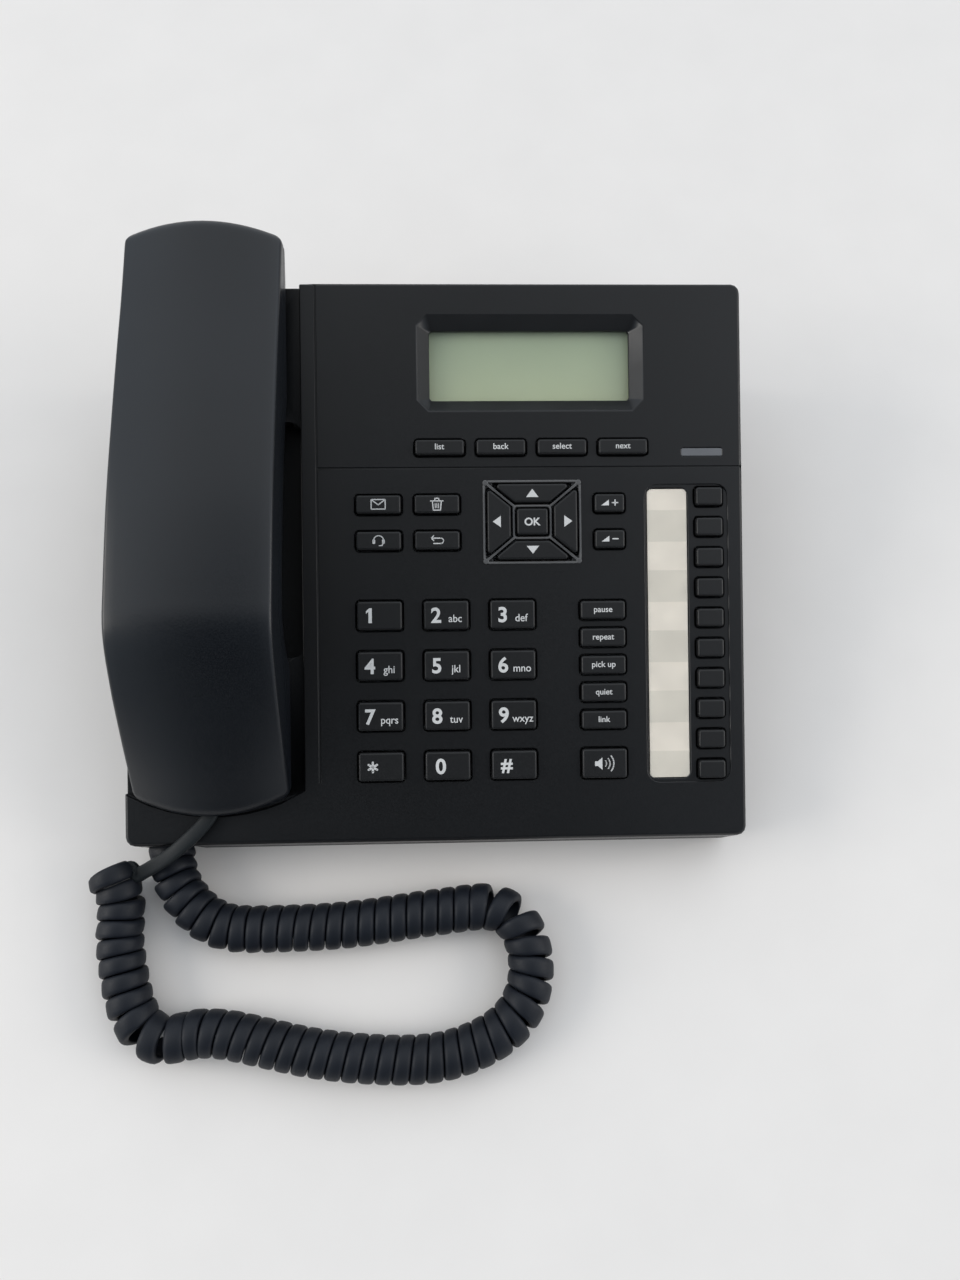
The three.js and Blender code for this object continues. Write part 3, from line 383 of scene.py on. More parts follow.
class Shape:
    """A piece in the making. Each part of it is a closed body with the index of its material."""

    def __init__(self):
        self.mesh = bmesh.new()

    def add_faces(self, faces, material):
        for corners in faces:
            self.mesh.faces.new(corners).material_index = material

    def loft(self, rings, material=0, strip_caps=False):
        rows = [[self.mesh.verts.new(point) for point in ring] for ring in rings]
        count = len(rows[0])
        faces = [(low[i], low[(i + 1) % count], high[(i + 1) % count], high[i])
                 for low, high in zip(rows, rows[1:]) for i in range(count)]
        for cap in (rows[0][::-1], rows[-1]):
            if strip_caps:
                faces += [(cap[i], cap[i + 1], cap[-2 - i], cap[-1 - i]) for i in range(count // 2 - 1)]
            else:
                faces.append(cap)
        self.add_faces(faces, material)

    def prism(self, outline, low, high, material=0):
        self.loft([ring_at(outline, low), ring_at(outline, high)], material)

    def pad(self, outline, low, high, edge):
        """A prism with a rounded upper edge."""
        rings = [ring_at(outline, low)]
        for k in range(PAD_STEPS + 1):
            turn = math.pi / 2 * k / PAD_STEPS
            rings.append(ring_at(inset_outline(outline, edge * (1 - math.cos(turn))),
                                 high - edge * (1 - math.sin(turn))))
        rings.append(ring_at(inset_outline(outline, edge * 1.3), high))
        self.loft(rings)

    def frame(self, outline, profile):
        """A closed band round an outline. The profile lists (inset, height) once round the band's section."""
        rows = [[self.mesh.verts.new(point) for point in ring_at(inset_outline(outline, inset), height)]
                for inset, height in profile]
        count = len(outline)
        self.add_faces([(low[i], low[(i + 1) % count], high[(i + 1) % count], high[i])
                        for low, high in zip(rows, rows[1:] + rows[:1]) for i in range(count)], 0)

    def stroke(self, points, width, low, high, material, closed=False):
        """A drawn line with round ends."""
        points = [Vector(point) for point in points]
        ends = points[1:] + points[:1] if closed else points[1:]
        for a, b in zip(points, ends):
            side = (b - a).normalized().orthogonal() * width / 2
            corners = (a - side, b - side, b + side, a + side)
            self.prism([tuple(corner) for corner in corners], low, high, material)
        for point in points:
            self.prism(circle(width / 2, *point, steps=10), low, high, material)

    def text(self, words, x, baseline, height, bold, low, high, material, wide=1.0):
        """Lettering whose capitals and digits have that height, centred on x."""
        curve = bpy.data.curves.new("lettering", "FONT")
        curve.body = words
        curve.size = height / CAPITAL_SHARE
        curve.offset = bold * height
        curve.extrude = (high - low) / 2
        letters = bpy.data.objects.new("lettering", curve)
        data = bpy.data.meshes.new_from_object(letters)
        middle = (min(v.co.x for v in data.vertices) + max(v.co.x for v in data.vertices)) / 2
        data.transform(Matrix.Translation((x, baseline, (low + high) / 2)) @ Matrix.Scale(wide, 4, (1, 0, 0))
                       @ Matrix.Translation((-middle, 0, 0)))
        start = len(self.mesh.faces)
        self.mesh.from_mesh(data)
        self.mesh.faces.ensure_lookup_table()
        for face in self.mesh.faces[start:]:
            face.material_index = material
        bpy.data.objects.remove(letters)
        bpy.data.curves.remove(curve)
        bpy.data.meshes.remove(data)

    def piece(self, name, matrix, materials, slot, body="base", replaces=(), smooth=SMOOTH_ANGLE):
        """Makes a visible piece of it. smooth is the widest angle in degrees that is shaded round."""
        bmesh.ops.recalc_face_normals(self.mesh, faces=self.mesh.faces)
        self.mesh.transform(matrix)
        data = bpy.data.meshes.new(name)
        self.mesh.to_mesh(data)
        self.mesh.free()
        data.shade_smooth()
        data.set_sharp_from_angle(angle=math.radians(smooth))
        return add_piece(name, data, materials, body, replaces)


def add_piece(name, data, materials, body, replaces):
    for material in materials:
        data.materials.append(material)
    piece = add_object(name, data)
    if body:
        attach(piece, body)
    if replaces:
        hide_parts(*replaces)
    return piece


def join_narrow_cuts(mesh):
    """Joins flat faces first where the edge between them leaves a corner at a narrow angle."""
    flat = [edge for edge in mesh.edges if edge.is_manifold and edge.calc_face_angle() < FLAT_ANGLE]
    others = set(mesh.edges) - set(flat)
    cuts = []
    for edge in flat:
        turns = []
        for vertex in edge.verts:
            along = edge.other_vert(vertex).co - vertex.co
            turns += [along.angle(other.other_vert(vertex).co - vertex.co)
                      for other in vertex.link_edges if other in others]
        if turns and min(turns) < NARROW_ANGLE:
            cuts.append((min(turns), edge))
    cuts.sort(key=lambda cut: cut[0])
    for _, edge in cuts:
        if edge.is_valid:
            bmesh.ops.dissolve_edges(mesh, edges=[edge], use_verts=False)


def soft_edged_copy(name, node, materials, width, weigh, body="base", paint=None):
    """The CAD node's own shape with soft edges. weigh gives an edge its share of the width, from 0 to 1."""
    mesh = bmesh.new()
    mesh.from_mesh(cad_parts[node].data)
    bmesh.ops.remove_doubles(mesh, verts=mesh.verts, dist=1e-6)
    join_narrow_cuts(mesh)
    bmesh.ops.dissolve_limit(mesh, angle_limit=FLAT_ANGLE, verts=mesh.verts, edges=mesh.edges)
    weights = mesh.edges.layers.float.new("bevel_weight_edge")
    for edge in mesh.edges:
        if edge.is_manifold and edge.is_convex and edge.calc_face_angle() > math.radians(SMOOTH_ANGLE):
            edge[weights] = weigh((edge.verts[0].co + edge.verts[1].co) / 2)
    data = bpy.data.meshes.new(name)
    mesh.to_mesh(data)
    mesh.free()
    data.shade_smooth()
    data.set_sharp_from_angle(angle=math.radians(SMOOTH_ANGLE))
    piece = add_piece(name, data, materials, body, [node])
    bevel = piece.modifiers.new("edge", "BEVEL")
    bevel.width = width * MM
    bevel.segments = 2
    bevel.limit_method = "WEIGHT"
    bevel.use_clamp_overlap = False
    normals = piece.modifiers.new("normals", "WEIGHTED_NORMAL")
    normals.keep_sharp = True
    graph = bpy.context.evaluated_depsgraph_get()
    graph.update()
    final = bpy.data.meshes.new_from_object(piece.evaluated_get(graph))
    piece.modifiers.clear()
    piece.data = final
    if paint:
        for face in final.polygons:
            face.material_index = paint(face.center)
    return piece


def dress_node(node, material):
    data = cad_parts[node].data
    data.materials.clear()
    data.materials.append(material)


def panel_box(node):
    """Lowest and highest corner of a node along the panel, in millimetres."""
    points = [from_panel @ vertex.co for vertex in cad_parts[node].data.vertices]
    return (Vector([min(p[i] for p in points) for i in range(3)]),
            Vector([max(p[i] for p in points) for i in range(3)]))


# Curves through given points
HEADING_REACH = 0.8


def smooth_route(points, steps=12):
    """Centripetal curve through points, as a dense polyline."""
    points = [Vector(point) for point in points]
    points = [2 * points[0] - points[1], *points, 2 * points[-1] - points[-2]]
    result = []
    for p0, p1, p2, p3 in zip(points, points[1:], points[2:], points[3:]):
        d0, d1, d2 = ((b - a).length ** 0.5 for a, b in ((p0, p1), (p1, p2), (p2, p3)))
        t1 = ((p1 - p0) / d0 - (p2 - p0) / (d0 + d1) + (p2 - p1) / d1) * d1
        t2 = ((p2 - p1) / d1 - (p3 - p1) / (d1 + d2) + (p3 - p2) / d2) * d1
        for k in range(steps):
            t = k / steps
            result.append((2 * t**3 - 3 * t**2 + 1) * p1 + (t**3 - 2 * t**2 + t) * t1
                          + (3 * t**2 - 2 * t**3) * p2 + (t**3 - t**2) * t2)
    return [*result, points[-2]]


def table_value(table, place):
    """Value at a place between the table's (place, value) pairs."""
    if place <= table[0][0]:
        return table[0][1]
    for (a, low), (b, high) in zip(table, table[1:]):
        if place < b:
            return low + (high - low) * (place - a) / (b - a)
    return table[-1][1]


class Axis:
    """A polyline walked by distance, running straight on past its ends."""

    def __init__(self, points):
        self.points = points
        self.places = [0.0]
        for a, b in zip(points, points[1:]):
            self.places.append(self.places[-1] + (b - a).length)
        self.length = self.places[-1]

    def at(self, distance):
        low, high = 0, len(self.points) - 1
        while high - low > 1:
            middle = (low + high) // 2
            low, high = (middle, high) if self.places[middle] <= distance else (low, middle)
        step = self.points[high] - self.points[low]
        share = (distance - self.places[low]) / step.length
        return self.points[low] + step * share

    def heading(self, distance):
        return (self.at(distance + HEADING_REACH) - self.at(distance - HEADING_REACH)).normalized()


# Curly cord and the flat lead that joins it to the handset. Straps are (width, thickness). A table's first
# number is the place along the coil's axis
STRAP = (5.1, 3.0)
COIL_DIAMETER = 15.6
COIL_PITCH = 5.45
COIL_STEPS = 24
CAD_STRAP = (4.7, 2.8)
COIL_PITCHES = [(30, 5.75), (33, 6.2), (41, 6.2), (46, 5.45)]
TURN_WIDTHS = [(290, 4.6), (305, 3.9)]
FAN_SHARE = 0.94
FAN_LIMITS = (0.76, 1.25)
BEND_TURNS = 1.5
LARGEST_SQUEEZE = 0.6
CORD_ROUTE = [
    (-7.8, -10.1), (-5.8, -16), (-5.2, -22.7), (-5.1, -29.2), (-4.3, -35.1), (-3, -41), (-1.4, -47.2),
    (0.9, -53.4), (4.6, -59.2), (10.2, -62.6), (16.6, -62.4), (23, -61.3), (30.9, -61.6), (37.5, -62.8),
    (43.5, -64.2), (49.5, -65.6), (55.5, -67), (61.5, -68.2), (70, -69.5), (79.6, -70.5), (89.2, -71.1),
    (96.9, -71.1), (103.3, -70.6), (109.8, -69.3), (116.2, -67.2), (122.2, -64.4), (127.4, -60.8),
    (131.5, -56.2), (134.2, -50.8), (135.5, -45), (135.5, -39), (134.2, -33), (131.2, -27.4),
    (126.4, -23.6), (120.5, -22.2), (113.8, -22.5), (105, -23.5), (95.8, -24.5), (85.8, -25.8),
    (75.9, -26.9), (66, -27.6), (56.8, -27.9), (47.5, -28), (38.5, -27.9), (32, -27.2), (26.4, -25.2),
    (21.4, -21.8), (17.2, -17.4), (14, -12.4), (12, -7), (11.1, -1.5), (11, 4), (11, 8),
]
REVERSAL = 60.2
TURN_BACK_REACH = 2.1
TURN_BACK_ANGLE = 0.75 * math.pi
TURN_BACK_STEPS = 12
CURL_LEAN = [(0, -4), (6, -9), (20, -9), (40, -8), (52, -2), (60, 0), (290, 0), (318, 10), (335, 15)]
LEAD_ROUTE = [
    (29.9, 13.4, 29.9), (28.8, 9.6, 29.4), (26.2, 6, 28.9), (22.4, 2.3, 28.2), (17.4, -1.7, 26.4),
    (11.8, -4.9, 22.6), (6.5, -7.1, 17.6), (3.2, -8.3, 14.3), (0.9, -9.1, 12.7),
]
LEAD_STRAP = (4.9, 2.5)
FIRST_CURL_RISE = 3.0
FIRST_CURL_GROW = 0.3
FIRST_CURL_STEPS = 4
EASE_TURNS = 1.5
EASE_STEPS = 15
LEAD_JOINT = 1.2
LEAD_END = (0.9, 0.05)
LEAD_STEPS = 8
CORD_SMOOTH = 60
STRAP_START = (1, 0.6)
STRAP_START_WIDTHS = (0.78, 0.95)
STRAP_END = (1, 0.5, 0)
COIL_START = 3
COIL_HEIGHT = COIL_DIAMETER / 2 + 0.1
COIL_RADIUS = (COIL_DIAMETER - CAD_STRAP[1]) / 2
CORD_END = Vector((11, 12.5, COIL_HEIGHT))
UP = Vector((0, 0, 1))

coil_axis = Axis(smooth_route([(x, y, COIL_HEIGHT) for x, y in CORD_ROUTE]))


def local_pitch(distance):
    """Way from curl to curl along the axis: wide enough that the curls stay apart inside a bend."""
    lean = math.cos(math.radians(table_value(CURL_LEAN, distance)))
    pitch = table_value(COIL_PITCHES, distance)
    if abs(distance - REVERSAL) < pitch:
        return pitch / lean
    window = BEND_TURNS * COIL_PITCH
    start = max(distance - window, 0)
    end = min(distance + window, coil_axis.length)
    bend = coil_axis.heading(start).angle(coil_axis.heading(end)) / (2 * window)
    squeezed = table_value(TURN_WIDTHS, distance) / (1 - min(bend * COIL_DIAMETER / 2, LARGEST_SQUEEZE))
    return max(pitch, squeezed) / lean


def curl(distance, angle, radius=COIL_RADIUS, rise=0.0):
    """A point on the curls and its direction out from the axis."""
    side = coil_axis.heading(distance).cross(UP).normalized()
    lean = math.radians(table_value(CURL_LEAN, distance))
    across = Matrix.Rotation(lean, 3, "Z") @ side
    out = across * math.sin(angle) + UP * math.cos(angle)
    return coil_axis.at(distance) + out * radius + UP * rise, out


def first_curls(distance, angle):
    """Curls that stand higher and wider towards the handset's lead."""
    near_start = min(1, max(0, 1 - distance / (EASE_TURNS * COIL_PITCH)))
    rise = (FIRST_CURL_RISE + FIRST_CURL_GROW) * near_start
    return curl(distance, angle, COIL_RADIUS + FIRST_CURL_GROW * near_start, rise)


def coil_curve():
    """The whole coil from the lead to the base. The winding turns back once, at the reversal."""
    step = 2 * math.pi / COIL_STEPS
    before = []
    distance = REVERSAL - TURN_BACK_REACH
    angle = TURN_BACK_ANGLE
    while distance > COIL_START or math.cos(angle) < 1 - 1e-6:
        before.append(first_curls(distance, angle))
        distance -= local_pitch(distance) / COIL_STEPS
        angle -= step
    for _ in range(FIRST_CURL_STEPS):
        before.append(first_curls(distance, angle))
        distance -= local_pitch(distance) / COIL_STEPS
        angle -= step
    before.append(first_curls(distance, angle))
    before.reverse()
    bend = []
    for i in range(1, TURN_BACK_STEPS):
        around = math.pi * i / TURN_BACK_STEPS
        bend.append(curl(REVERSAL - TURN_BACK_REACH * math.cos(around),
                         TURN_BACK_ANGLE + TURN_BACK_REACH * math.sin(around) / COIL_RADIUS))
    after = []
    distance = REVERSAL + TURN_BACK_REACH
    angle = TURN_BACK_ANGLE
    while distance < coil_axis.length - COIL_PITCH / 2:
        after.append(curl(distance, angle))
        distance += local_pitch(distance) / COIL_STEPS
        angle -= step
    for i in range(1, EASE_STEPS + 1):
        after.append(curl(distance, angle, COIL_RADIUS * (1 - (i / EASE_STEPS) ** 2)))
        distance += COIL_PITCH / COIL_STEPS
        angle -= step
    return before + bend + after


def strap_section(width, thickness):
    """Band with a flat back, rounded edges and a crowned face."""
    across = width / 2
    deep = thickness / 2
    side = [(across - 0.5, -deep), (across - 0.12, -deep + 0.2), (across, -deep + 0.7), (across, 0.2 * deep),
            (across - 0.18, 0.55 * deep), (across - 0.6, 0.82 * deep), (0.5 * across, 0.96 * deep)]
    mirrored = [(-x, y) for x, y in reversed(side)]
    return [*side, (0, deep), *mirrored]


def sweep(curve, section, spread=None):
    """Section carried along a curve. spread lists how much wider it is at each point."""
    rings = []
    for i, (point, out) in enumerate(curve):
        ahead = curve[min(i + 1, len(curve) - 1)][0]
        behind = curve[max(i - 1, 0)][0]
        tangent = (ahead - behind).normalized()
        normal = (out - tangent * out.dot(tangent)).normalized()
        across = tangent.cross(normal) * (spread[i] if spread else 1)
        rings.append([point - across * x + normal * y for x, y in section])
    return rings


def turn_spread(points):
    """Where the turns fan out round a bend, the strap lies flatter and shows wider."""
    spread = []
    last = len(points) - 1
    for i, point in enumerate(points):
        steps = [(points[j] - point).length for j in (i - COIL_STEPS, i + COIL_STEPS) if 0 <= j <= last]
        rounded = STRAP_START_WIDTHS[i] if i < len(STRAP_START_WIDTHS) else 1
        width = FAN_SHARE * sum(steps) / len(steps) / STRAP[0]
        spread.append(rounded * min(FAN_LIMITS[1], max(FAN_LIMITS[0], width)))
    return spread


def polyline_length(points):
    return sum((b - a).length for a, b in zip(points, points[1:]))


def add_cords():
    full = coil_curve()
    first_point, first_out = full[0]
    heading = (first_point - full[1][0]).normalized()
    joint = first_point + heading * LEAD_JOINT
    start = [(first_point + heading * LEAD_JOINT * share, first_out) for share in STRAP_START]
    end_point = CORD_END - Vector((0, GAP, 0))
    end = [(end_point - Vector((0, CAD_STRAP[0] * share, 0)), UP) for share in STRAP_END]
    curve = start + full + end
    shape = Shape()
    shape.loft(sweep(curve, strap_section(*STRAP), turn_spread([point for point, _ in curve])))
    coil = shape.piece("curly_cord_strap", to_world, [cord_plastic], "cord", "base", ["curly_cord"],
                       CORD_SMOOTH)
    path = [point for point, _ in curve][::-1]
    round(polyline_length(path) * MM, 3)
    [tuple(to_world @ point) for point in path]

    plug_low, plug_high = panel_box("handset_plug")
    plug_middle = (plug_low + plug_high) / 2
    lead_exit = from_world @ to_panel @ Vector((plug_middle.x, plug_low.y, plug_middle.z))
    lead_end = [joint + heading * reach for reach in LEAD_END]
    route = smooth_route([lead_exit, *LEAD_ROUTE, *lead_end], LEAD_STEPS)
    shape = Shape()
    shape.loft(sweep([(point, UP) for point in route], strap_section(*LEAD_STRAP)))
    lead = shape.piece("handset_lead_strap", to_world, [lead_plastic], "cord", None, ["handset_lead"],
                       CORD_SMOOTH)
    tuple(to_world @ Vector(LEAD_ROUTE[-2]))
    tuple(to_world @ Vector(LEAD_ROUTE[1]))
    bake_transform(lead)
    route.reverse()
    round(polyline_length(route) * MM, 3)


# Handset. The lines are (place along the panel, height over it) of the upper edge and of the joint between
# its two shells
HANDSET_X = 29.9
HANDSET_WIDTH = 51
HANDSET_ENDS = (10.5, 205.7)
END_BULGES = (5.8, 4.5)
BULGE_REACH = 40
CROWN = 2.5
END_ROUND = 3
FRONT_DROP = 0.4
REAR_DROP = 0.8
SHOULDER_WIDTH = 1.2
SHOULDER_DROP = 1.1
SHOULDER_RISE = 0.3
SHOULDER_STEPS = 4
CROWN_STEPS = 8
RINGS_NEAR_END = [0, 0.15, 0.45, 0.9, 1.5, 2.2, 3, 4.5]
RINGS_BETWEEN = 64
FIRST_RING_BETWEEN = 6
EDGE_LINE = [
    (10.5, 4.2), (14, 5.8), (18.4, 8.1), (30.4, 14.4), (50.4, 24.2), (60, 28.7), (64, 30.4), (68.4, 31.8),
    (72, 32.5), (76, 32.6), (80.4, 32.1), (111.4, 27.9), (143.4, 20.9), (177.4, 12.6), (201.4, 7.8),
    (205.7, 6.9),
]
PARTING_LINE = [
    (0, 0.2), (14, 0.2), (30, 5), (60, 13), (76, 20.5), (111, 17), (143, 9.5), (177, 4.5), (220, 2.8),
]
edge_table = [(point.x, point.y) for point in smooth_route([(x, y, 0) for x, y in EDGE_LINE])]


def bow(start, middle, end, share):
    """Value that share of the way from start to end on a curve drawn towards the middle value."""
    return start * (1 - share) ** 2 + middle * 2 * share * (1 - share) + end * share**2


def handset_ring(place):
    """Section of the upper shell: its face from left to right, then the joint from right to left."""
    front = place - HANDSET_ENDS[0]
    rear = HANDSET_ENDS[1] - place
    reach = min(front, rear)
    inset = END_ROUND * (1 - math.sqrt(max(0, 1 - (1 - reach / END_ROUND) ** 2))) if reach < END_ROUND else 0
    half = HANDSET_WIDTH / 2 - inset
    edge = table_value(edge_table, place) - inset * (FRONT_DROP if front < rear else REAR_DROP)
    bulge = (max(0, 1 - front / BULGE_REACH) * END_BULGES[0] - max(0, 1 - rear / BULGE_REACH) * END_BULGES[1])

    def along(x):
        """The ends bulge, so each place of the ring shifts along the panel with the square of its x."""
        return place + bulge * (2 * x / HANDSET_WIDTH) ** 2

    def joint(x):
        return table_value(PARTING_LINE, along(x)) + GAP / 2

    drop = min(SHOULDER_DROP, (edge - joint(half)) * 0.5)
    flank = half - SHOULDER_WIDTH
    side = []
    for k in range(SHOULDER_STEPS + 1):
        t = k / SHOULDER_STEPS
        side.append((bow(half, half - 0.02, flank, t), bow(edge - drop, edge + 0.1, edge + SHOULDER_RISE, t)))
    for k in range(1, CROWN_STEPS):
        x = flank * (1 - k / CROWN_STEPS)
        side.append((x, edge + SHOULDER_RISE + (CROWN - SHOULDER_RISE) * (1 - (x / flank) ** 2)))
    face = [(-x, z) for x, z in side] + [(0, edge + CROWN)] + side[::-1]
    upper = [Vector((HANDSET_X + x, along(x), z)) for x, z in face]
    lower = [Vector((HANDSET_X + x, along(x), joint(x))) for x, _ in face]
    return upper + lower[::-1]


def add_handset():
    first, last = HANDSET_ENDS
    length = last - first - 2 * FIRST_RING_BETWEEN
    places = [first + end for end in RINGS_NEAR_END]
    places += [first + FIRST_RING_BETWEEN + length * i / RINGS_BETWEEN for i in range(RINGS_BETWEEN + 1)]
    places += [last - end for end in reversed(RINGS_NEAR_END)]
    shape = Shape()
    shape.loft([handset_ring(place) for place in places], strip_caps=True)
    shape.piece("handset_upper_shell", to_panel, [handset_plastic], "handset", "handset",
                ["handset_outer_shell"], 45)
    low, _ = panel_box("handset_inner_shell")

    def weigh(point):
        return 1 if (from_panel @ point).z < low.z + 0.05 else 0

    soft_edged_copy("handset_lower_shell", "handset_inner_shell", [handset_plastic], 0.6,
                    weigh, "handset")


# Housing
GROOVE_X = 65
GROOVE_Y = 125.6
GROOVE_EDGE = 0.35
FRAME_EDGE = 0.6
FRAME_BORDER = 4
STRIP_DEPTH = 0.35
UPPER_EDGE_WIDTH = 0.32
LOWER_EDGE_WIDTH = 0.4
NEAR = 0.05


def outer_wall(point):
    """How near a point is to the housing's outer walls, in millimetres."""
    return min(point.x, BASE_WIDTH - point.x, point.y, BASE_DEPTH - point.y)


def add_housing():
    low, high = panel_box("display_window")

    def in_frame(point, border, bottom, top):
        across = low.x - border < point.x < high.x + border
        return across and low.y - border < point.y < high.y + border and bottom < point.z < top

    def weigh_upper(point):
        """Full width on the panel's edges and outer walls, less at the grooves and in the display's frame."""
        panel = from_panel @ point
        if abs(panel.z) < NEAR or abs(panel.z + STRIP_DEPTH) < NEAR:
            near_groove = abs(panel.x - GROOVE_X) < 0.5 or abs(panel.y - GROOVE_Y) < 0.5
            return GROOVE_EDGE if near_groove else 1
        if in_frame(panel, 0, -5, -0.2):
            return FRAME_EDGE
        return 1 if outer_wall(from_world @ point) < 1 else 0

    def weigh_lower(point):
        table = from_world @ point
        return 1 if outer_wall(table) < 1 or table.z < FOOT_HEIGHT - 0.1 else 0

    def paint_upper(centre):
        return 1 if in_frame(from_panel @ centre, FRAME_BORDER, -5.3, -0.12) else 0

    def paint_lower(centre):
        return 1 if (from_world @ centre).z < FOOT_HEIGHT - 0.2 else 0

    soft_edged_copy("upper_case", "upper_housing", [housing_plastic, bezel_plastic],
                    UPPER_EDGE_WIDTH, weigh_upper, "base", paint_upper)
    soft_edged_copy("lower_case", "lower_housing", [lower_plastic, foot_rubber],
                    LOWER_EDGE_WIDTH, weigh_lower, "base", paint_lower)


RIB_OUTER = (32.5, 27.5)
RIB_INNER = (12.5, 10.9)
RIB_HALF = 0.4
RIB_HEIGHT = 0.45
RIB_FOOT = -0.05
RIB_BEAD = 0.95


def add_cluster_ribs():
    """Raised cross and frame between the arrow keys, with a bead at each outer corner."""
    ok_low, ok_high = panel_box("ok_key")
    middle = (ok_low + ok_high) / 2
    side = [(RIB_HALF, RIB_FOOT), (RIB_HALF, 0.2), (0.2, RIB_HEIGHT)]
    section = [(-x, z) for x, z in side] + side[::-1]
    shape = Shape()
    shape.frame(round_rectangle(*RIB_OUTER, 1.6, middle.x, middle.y), section)
    shape.frame(round_rectangle(*RIB_INNER, 1.2, middle.x, middle.y), section)
    for i in (-1, 1):
        for j in (-1, 1):
            a = Vector((middle.x + i * (RIB_INNER[0] / 2 - 0.3), middle.y + j * (RIB_INNER[1] / 2 - 0.3)))
            b = Vector((middle.x + i * (RIB_OUTER[0] / 2 - 0.5), middle.y + j * (RIB_OUTER[1] / 2 - 0.5)))
            across = (b - a).normalized().orthogonal() * RIB_HALF
            corners = [tuple(corner) for corner in (b - across, b + across, a + across, a - across)]
            shape.pad(corners, RIB_FOOT, RIB_HEIGHT, 0.18)
            shape.pad(circle(RIB_BEAD, b.x, b.y, 16), RIB_FOOT, 0.6, 0.3)
    # Their pale colour is a painted highlight.
    shape.piece("cluster_ribs", to_panel, [rib_plastic_painted_highlight], "housing")


# Keys and their legends. CAP_PROFILE lists (inset, height) from the cap's side to its top. PRINT holds the
# print's lowest and highest level and the index of its material
KEY_RISE = 1.6
CAP_CORNER = 0.9
CAP_CORNER_STEPS = 4
CAP_PROFILE = ((0, 0.85), (0.05, 1.12), (0.17, 1.36), (0.36, 1.52), (0.62, KEY_RISE), (0.8, KEY_RISE))
CAP_SMOOTH = 50
PRINT = (KEY_RISE - 0.02, KEY_RISE + 0.025, 1)
LINE = 0.36
FINE_LINE = 0.25
BROAD_LINE = 0.42
STAR_LINE = 0.75
BOLD = 0.035
WORD_HEIGHT = 2.05
WORD_BASELINE = -0.75
WORD_BOLD = 0.012
DIGIT_HEIGHT = 5.1
DIGIT_BASELINE = -2.45
LETTER_HEIGHT = 2.6
LETTER_BASELINE = -2.35
LETTER_BOLD = 0.008
LETTER_WIDTH = 0.95
DIAL_LETTERS = {
    "2": "abc", "3": "def", "4": "ghi", "5": "jkl", "6": "mno", "7": "pqrs", "8": "tuv", "9": "wxyz",
}
WORDS = {
    "soft_key_1": "list", "soft_key_2": "back", "soft_key_3": "select", "soft_key_4": "next",
    "function_key_1": "pause", "function_key_2": "repeat", "function_key_3": "pick up",
    "function_key_4": "quiet", "function_key_5": "link",
}


def draw_lines(shape, lines, width=LINE):
    for points in lines:
        closed = points[0] == points[-1]
        shape.stroke(points[:-1] if closed else points, width, *PRINT, closed)


def draw_envelope(shape):
    corners = rectangle(4.7, 3.2)
    draw_lines(shape, [corners + corners[:1], [corners[3], (0, -0.2), corners[2]]])


def draw_bin(shape):
    body = [(-1.5, 1), (-1.2, -2.1), (1.2, -2.1), (1.5, 1)]
    draw_lines(shape, [body, [(-2.1, 1), (2.1, 1)], [(-0.7, 1.1), (-0.6, 1.9), (0.6, 1.9), (0.7, 1.1)]])
    draw_lines(shape, [[(x, 0.2), (x * 0.9, -1.4)] for x in (-0.6, 0, 0.6)], FINE_LINE)


def draw_headset(shape):
    draw_lines(shape, [arc(0, 0, 1.7, 200, -20), [(1.6, -0.6), (1.2, -1.6), (0.2, -1.7)]])
    for x in (-1.6, 1.6):
        shape.prism(round_rectangle(0.9, 1.5, 0.3, x, -0.3), *PRINT)


def draw_return(shape):
    draw_lines(shape, [[(-2, 0.7), (1.2, 0.7), *arc(1.2, -0.2, 0.9, 90, -90), (-1.2, -1.1)],
                       [(-1.2, 1.5), (-2, 0.7), (-1.2, -0.1)]])


def draw_speaker(shape):
    shape.prism([(-3.4, -0.8), (-2.4, -0.8), (-0.9, -2.1), (-0.9, 2.1), (-2.4, 0.8), (-3.4, 0.8)], *PRINT)
    draw_lines(shape, [arc(-0.9, 0, radius, -40, 40) for radius in (1.4, 2.6, 3.9)], BROAD_LINE)


def draw_volume(shape, louder):
    """A rising wedge with a plus or a minus."""
    shape.prism([(-2.9, -0.9), (-0.3, -0.9), (-0.3, 1)], *PRINT)
    bars = [[(0.9, 0), (2.7, 0)]]
    if louder:
        bars.append([(1.8, -0.9), (1.8, 0.9)])
    draw_lines(shape, bars, BROAD_LINE)


def draw_star(shape):
    for turn in (30, 90, 150):
        x = 1.6 * math.cos(math.radians(turn))
        y = 1.6 * math.sin(math.radians(turn))
        draw_lines(shape, [[(-2.8 - x, -y), (-2.8 + x, y)]], STAR_LINE)


def draw_arrow(shape, x, y, width, length, turn):
    """A solid triangle, turned anticlockwise by that many degrees from pointing up."""
    corners = [(-width / 2, -length / 2), (width / 2, -length / 2), (0, length / 2)]
    cos = math.cos(math.radians(turn))
    sin = math.sin(math.radians(turn))
    shape.prism([(x + a * cos - b * sin, y + a * sin + b * cos) for a, b in corners], *PRINT)


def draw_one(shape):
    shape.prism([(-3.7, -2.45), (-2.55, -2.45), (-2.55, 2.55), (-3.4, 2.55), (-4.5, 1.6), (-4.5, 0.75),
                 (-3.7, 1.35)], *PRINT)


def draw_dial(shape, digit):
    letters = DIAL_LETTERS.get(digit)
    shape.text(digit, -3.4 if letters else -2.4, DIGIT_BASELINE, DIGIT_HEIGHT, BOLD, *PRINT)
    if letters:
        shape.text(letters, 3, LETTER_BASELINE, LETTER_HEIGHT, LETTER_BOLD, *PRINT, LETTER_WIDTH)


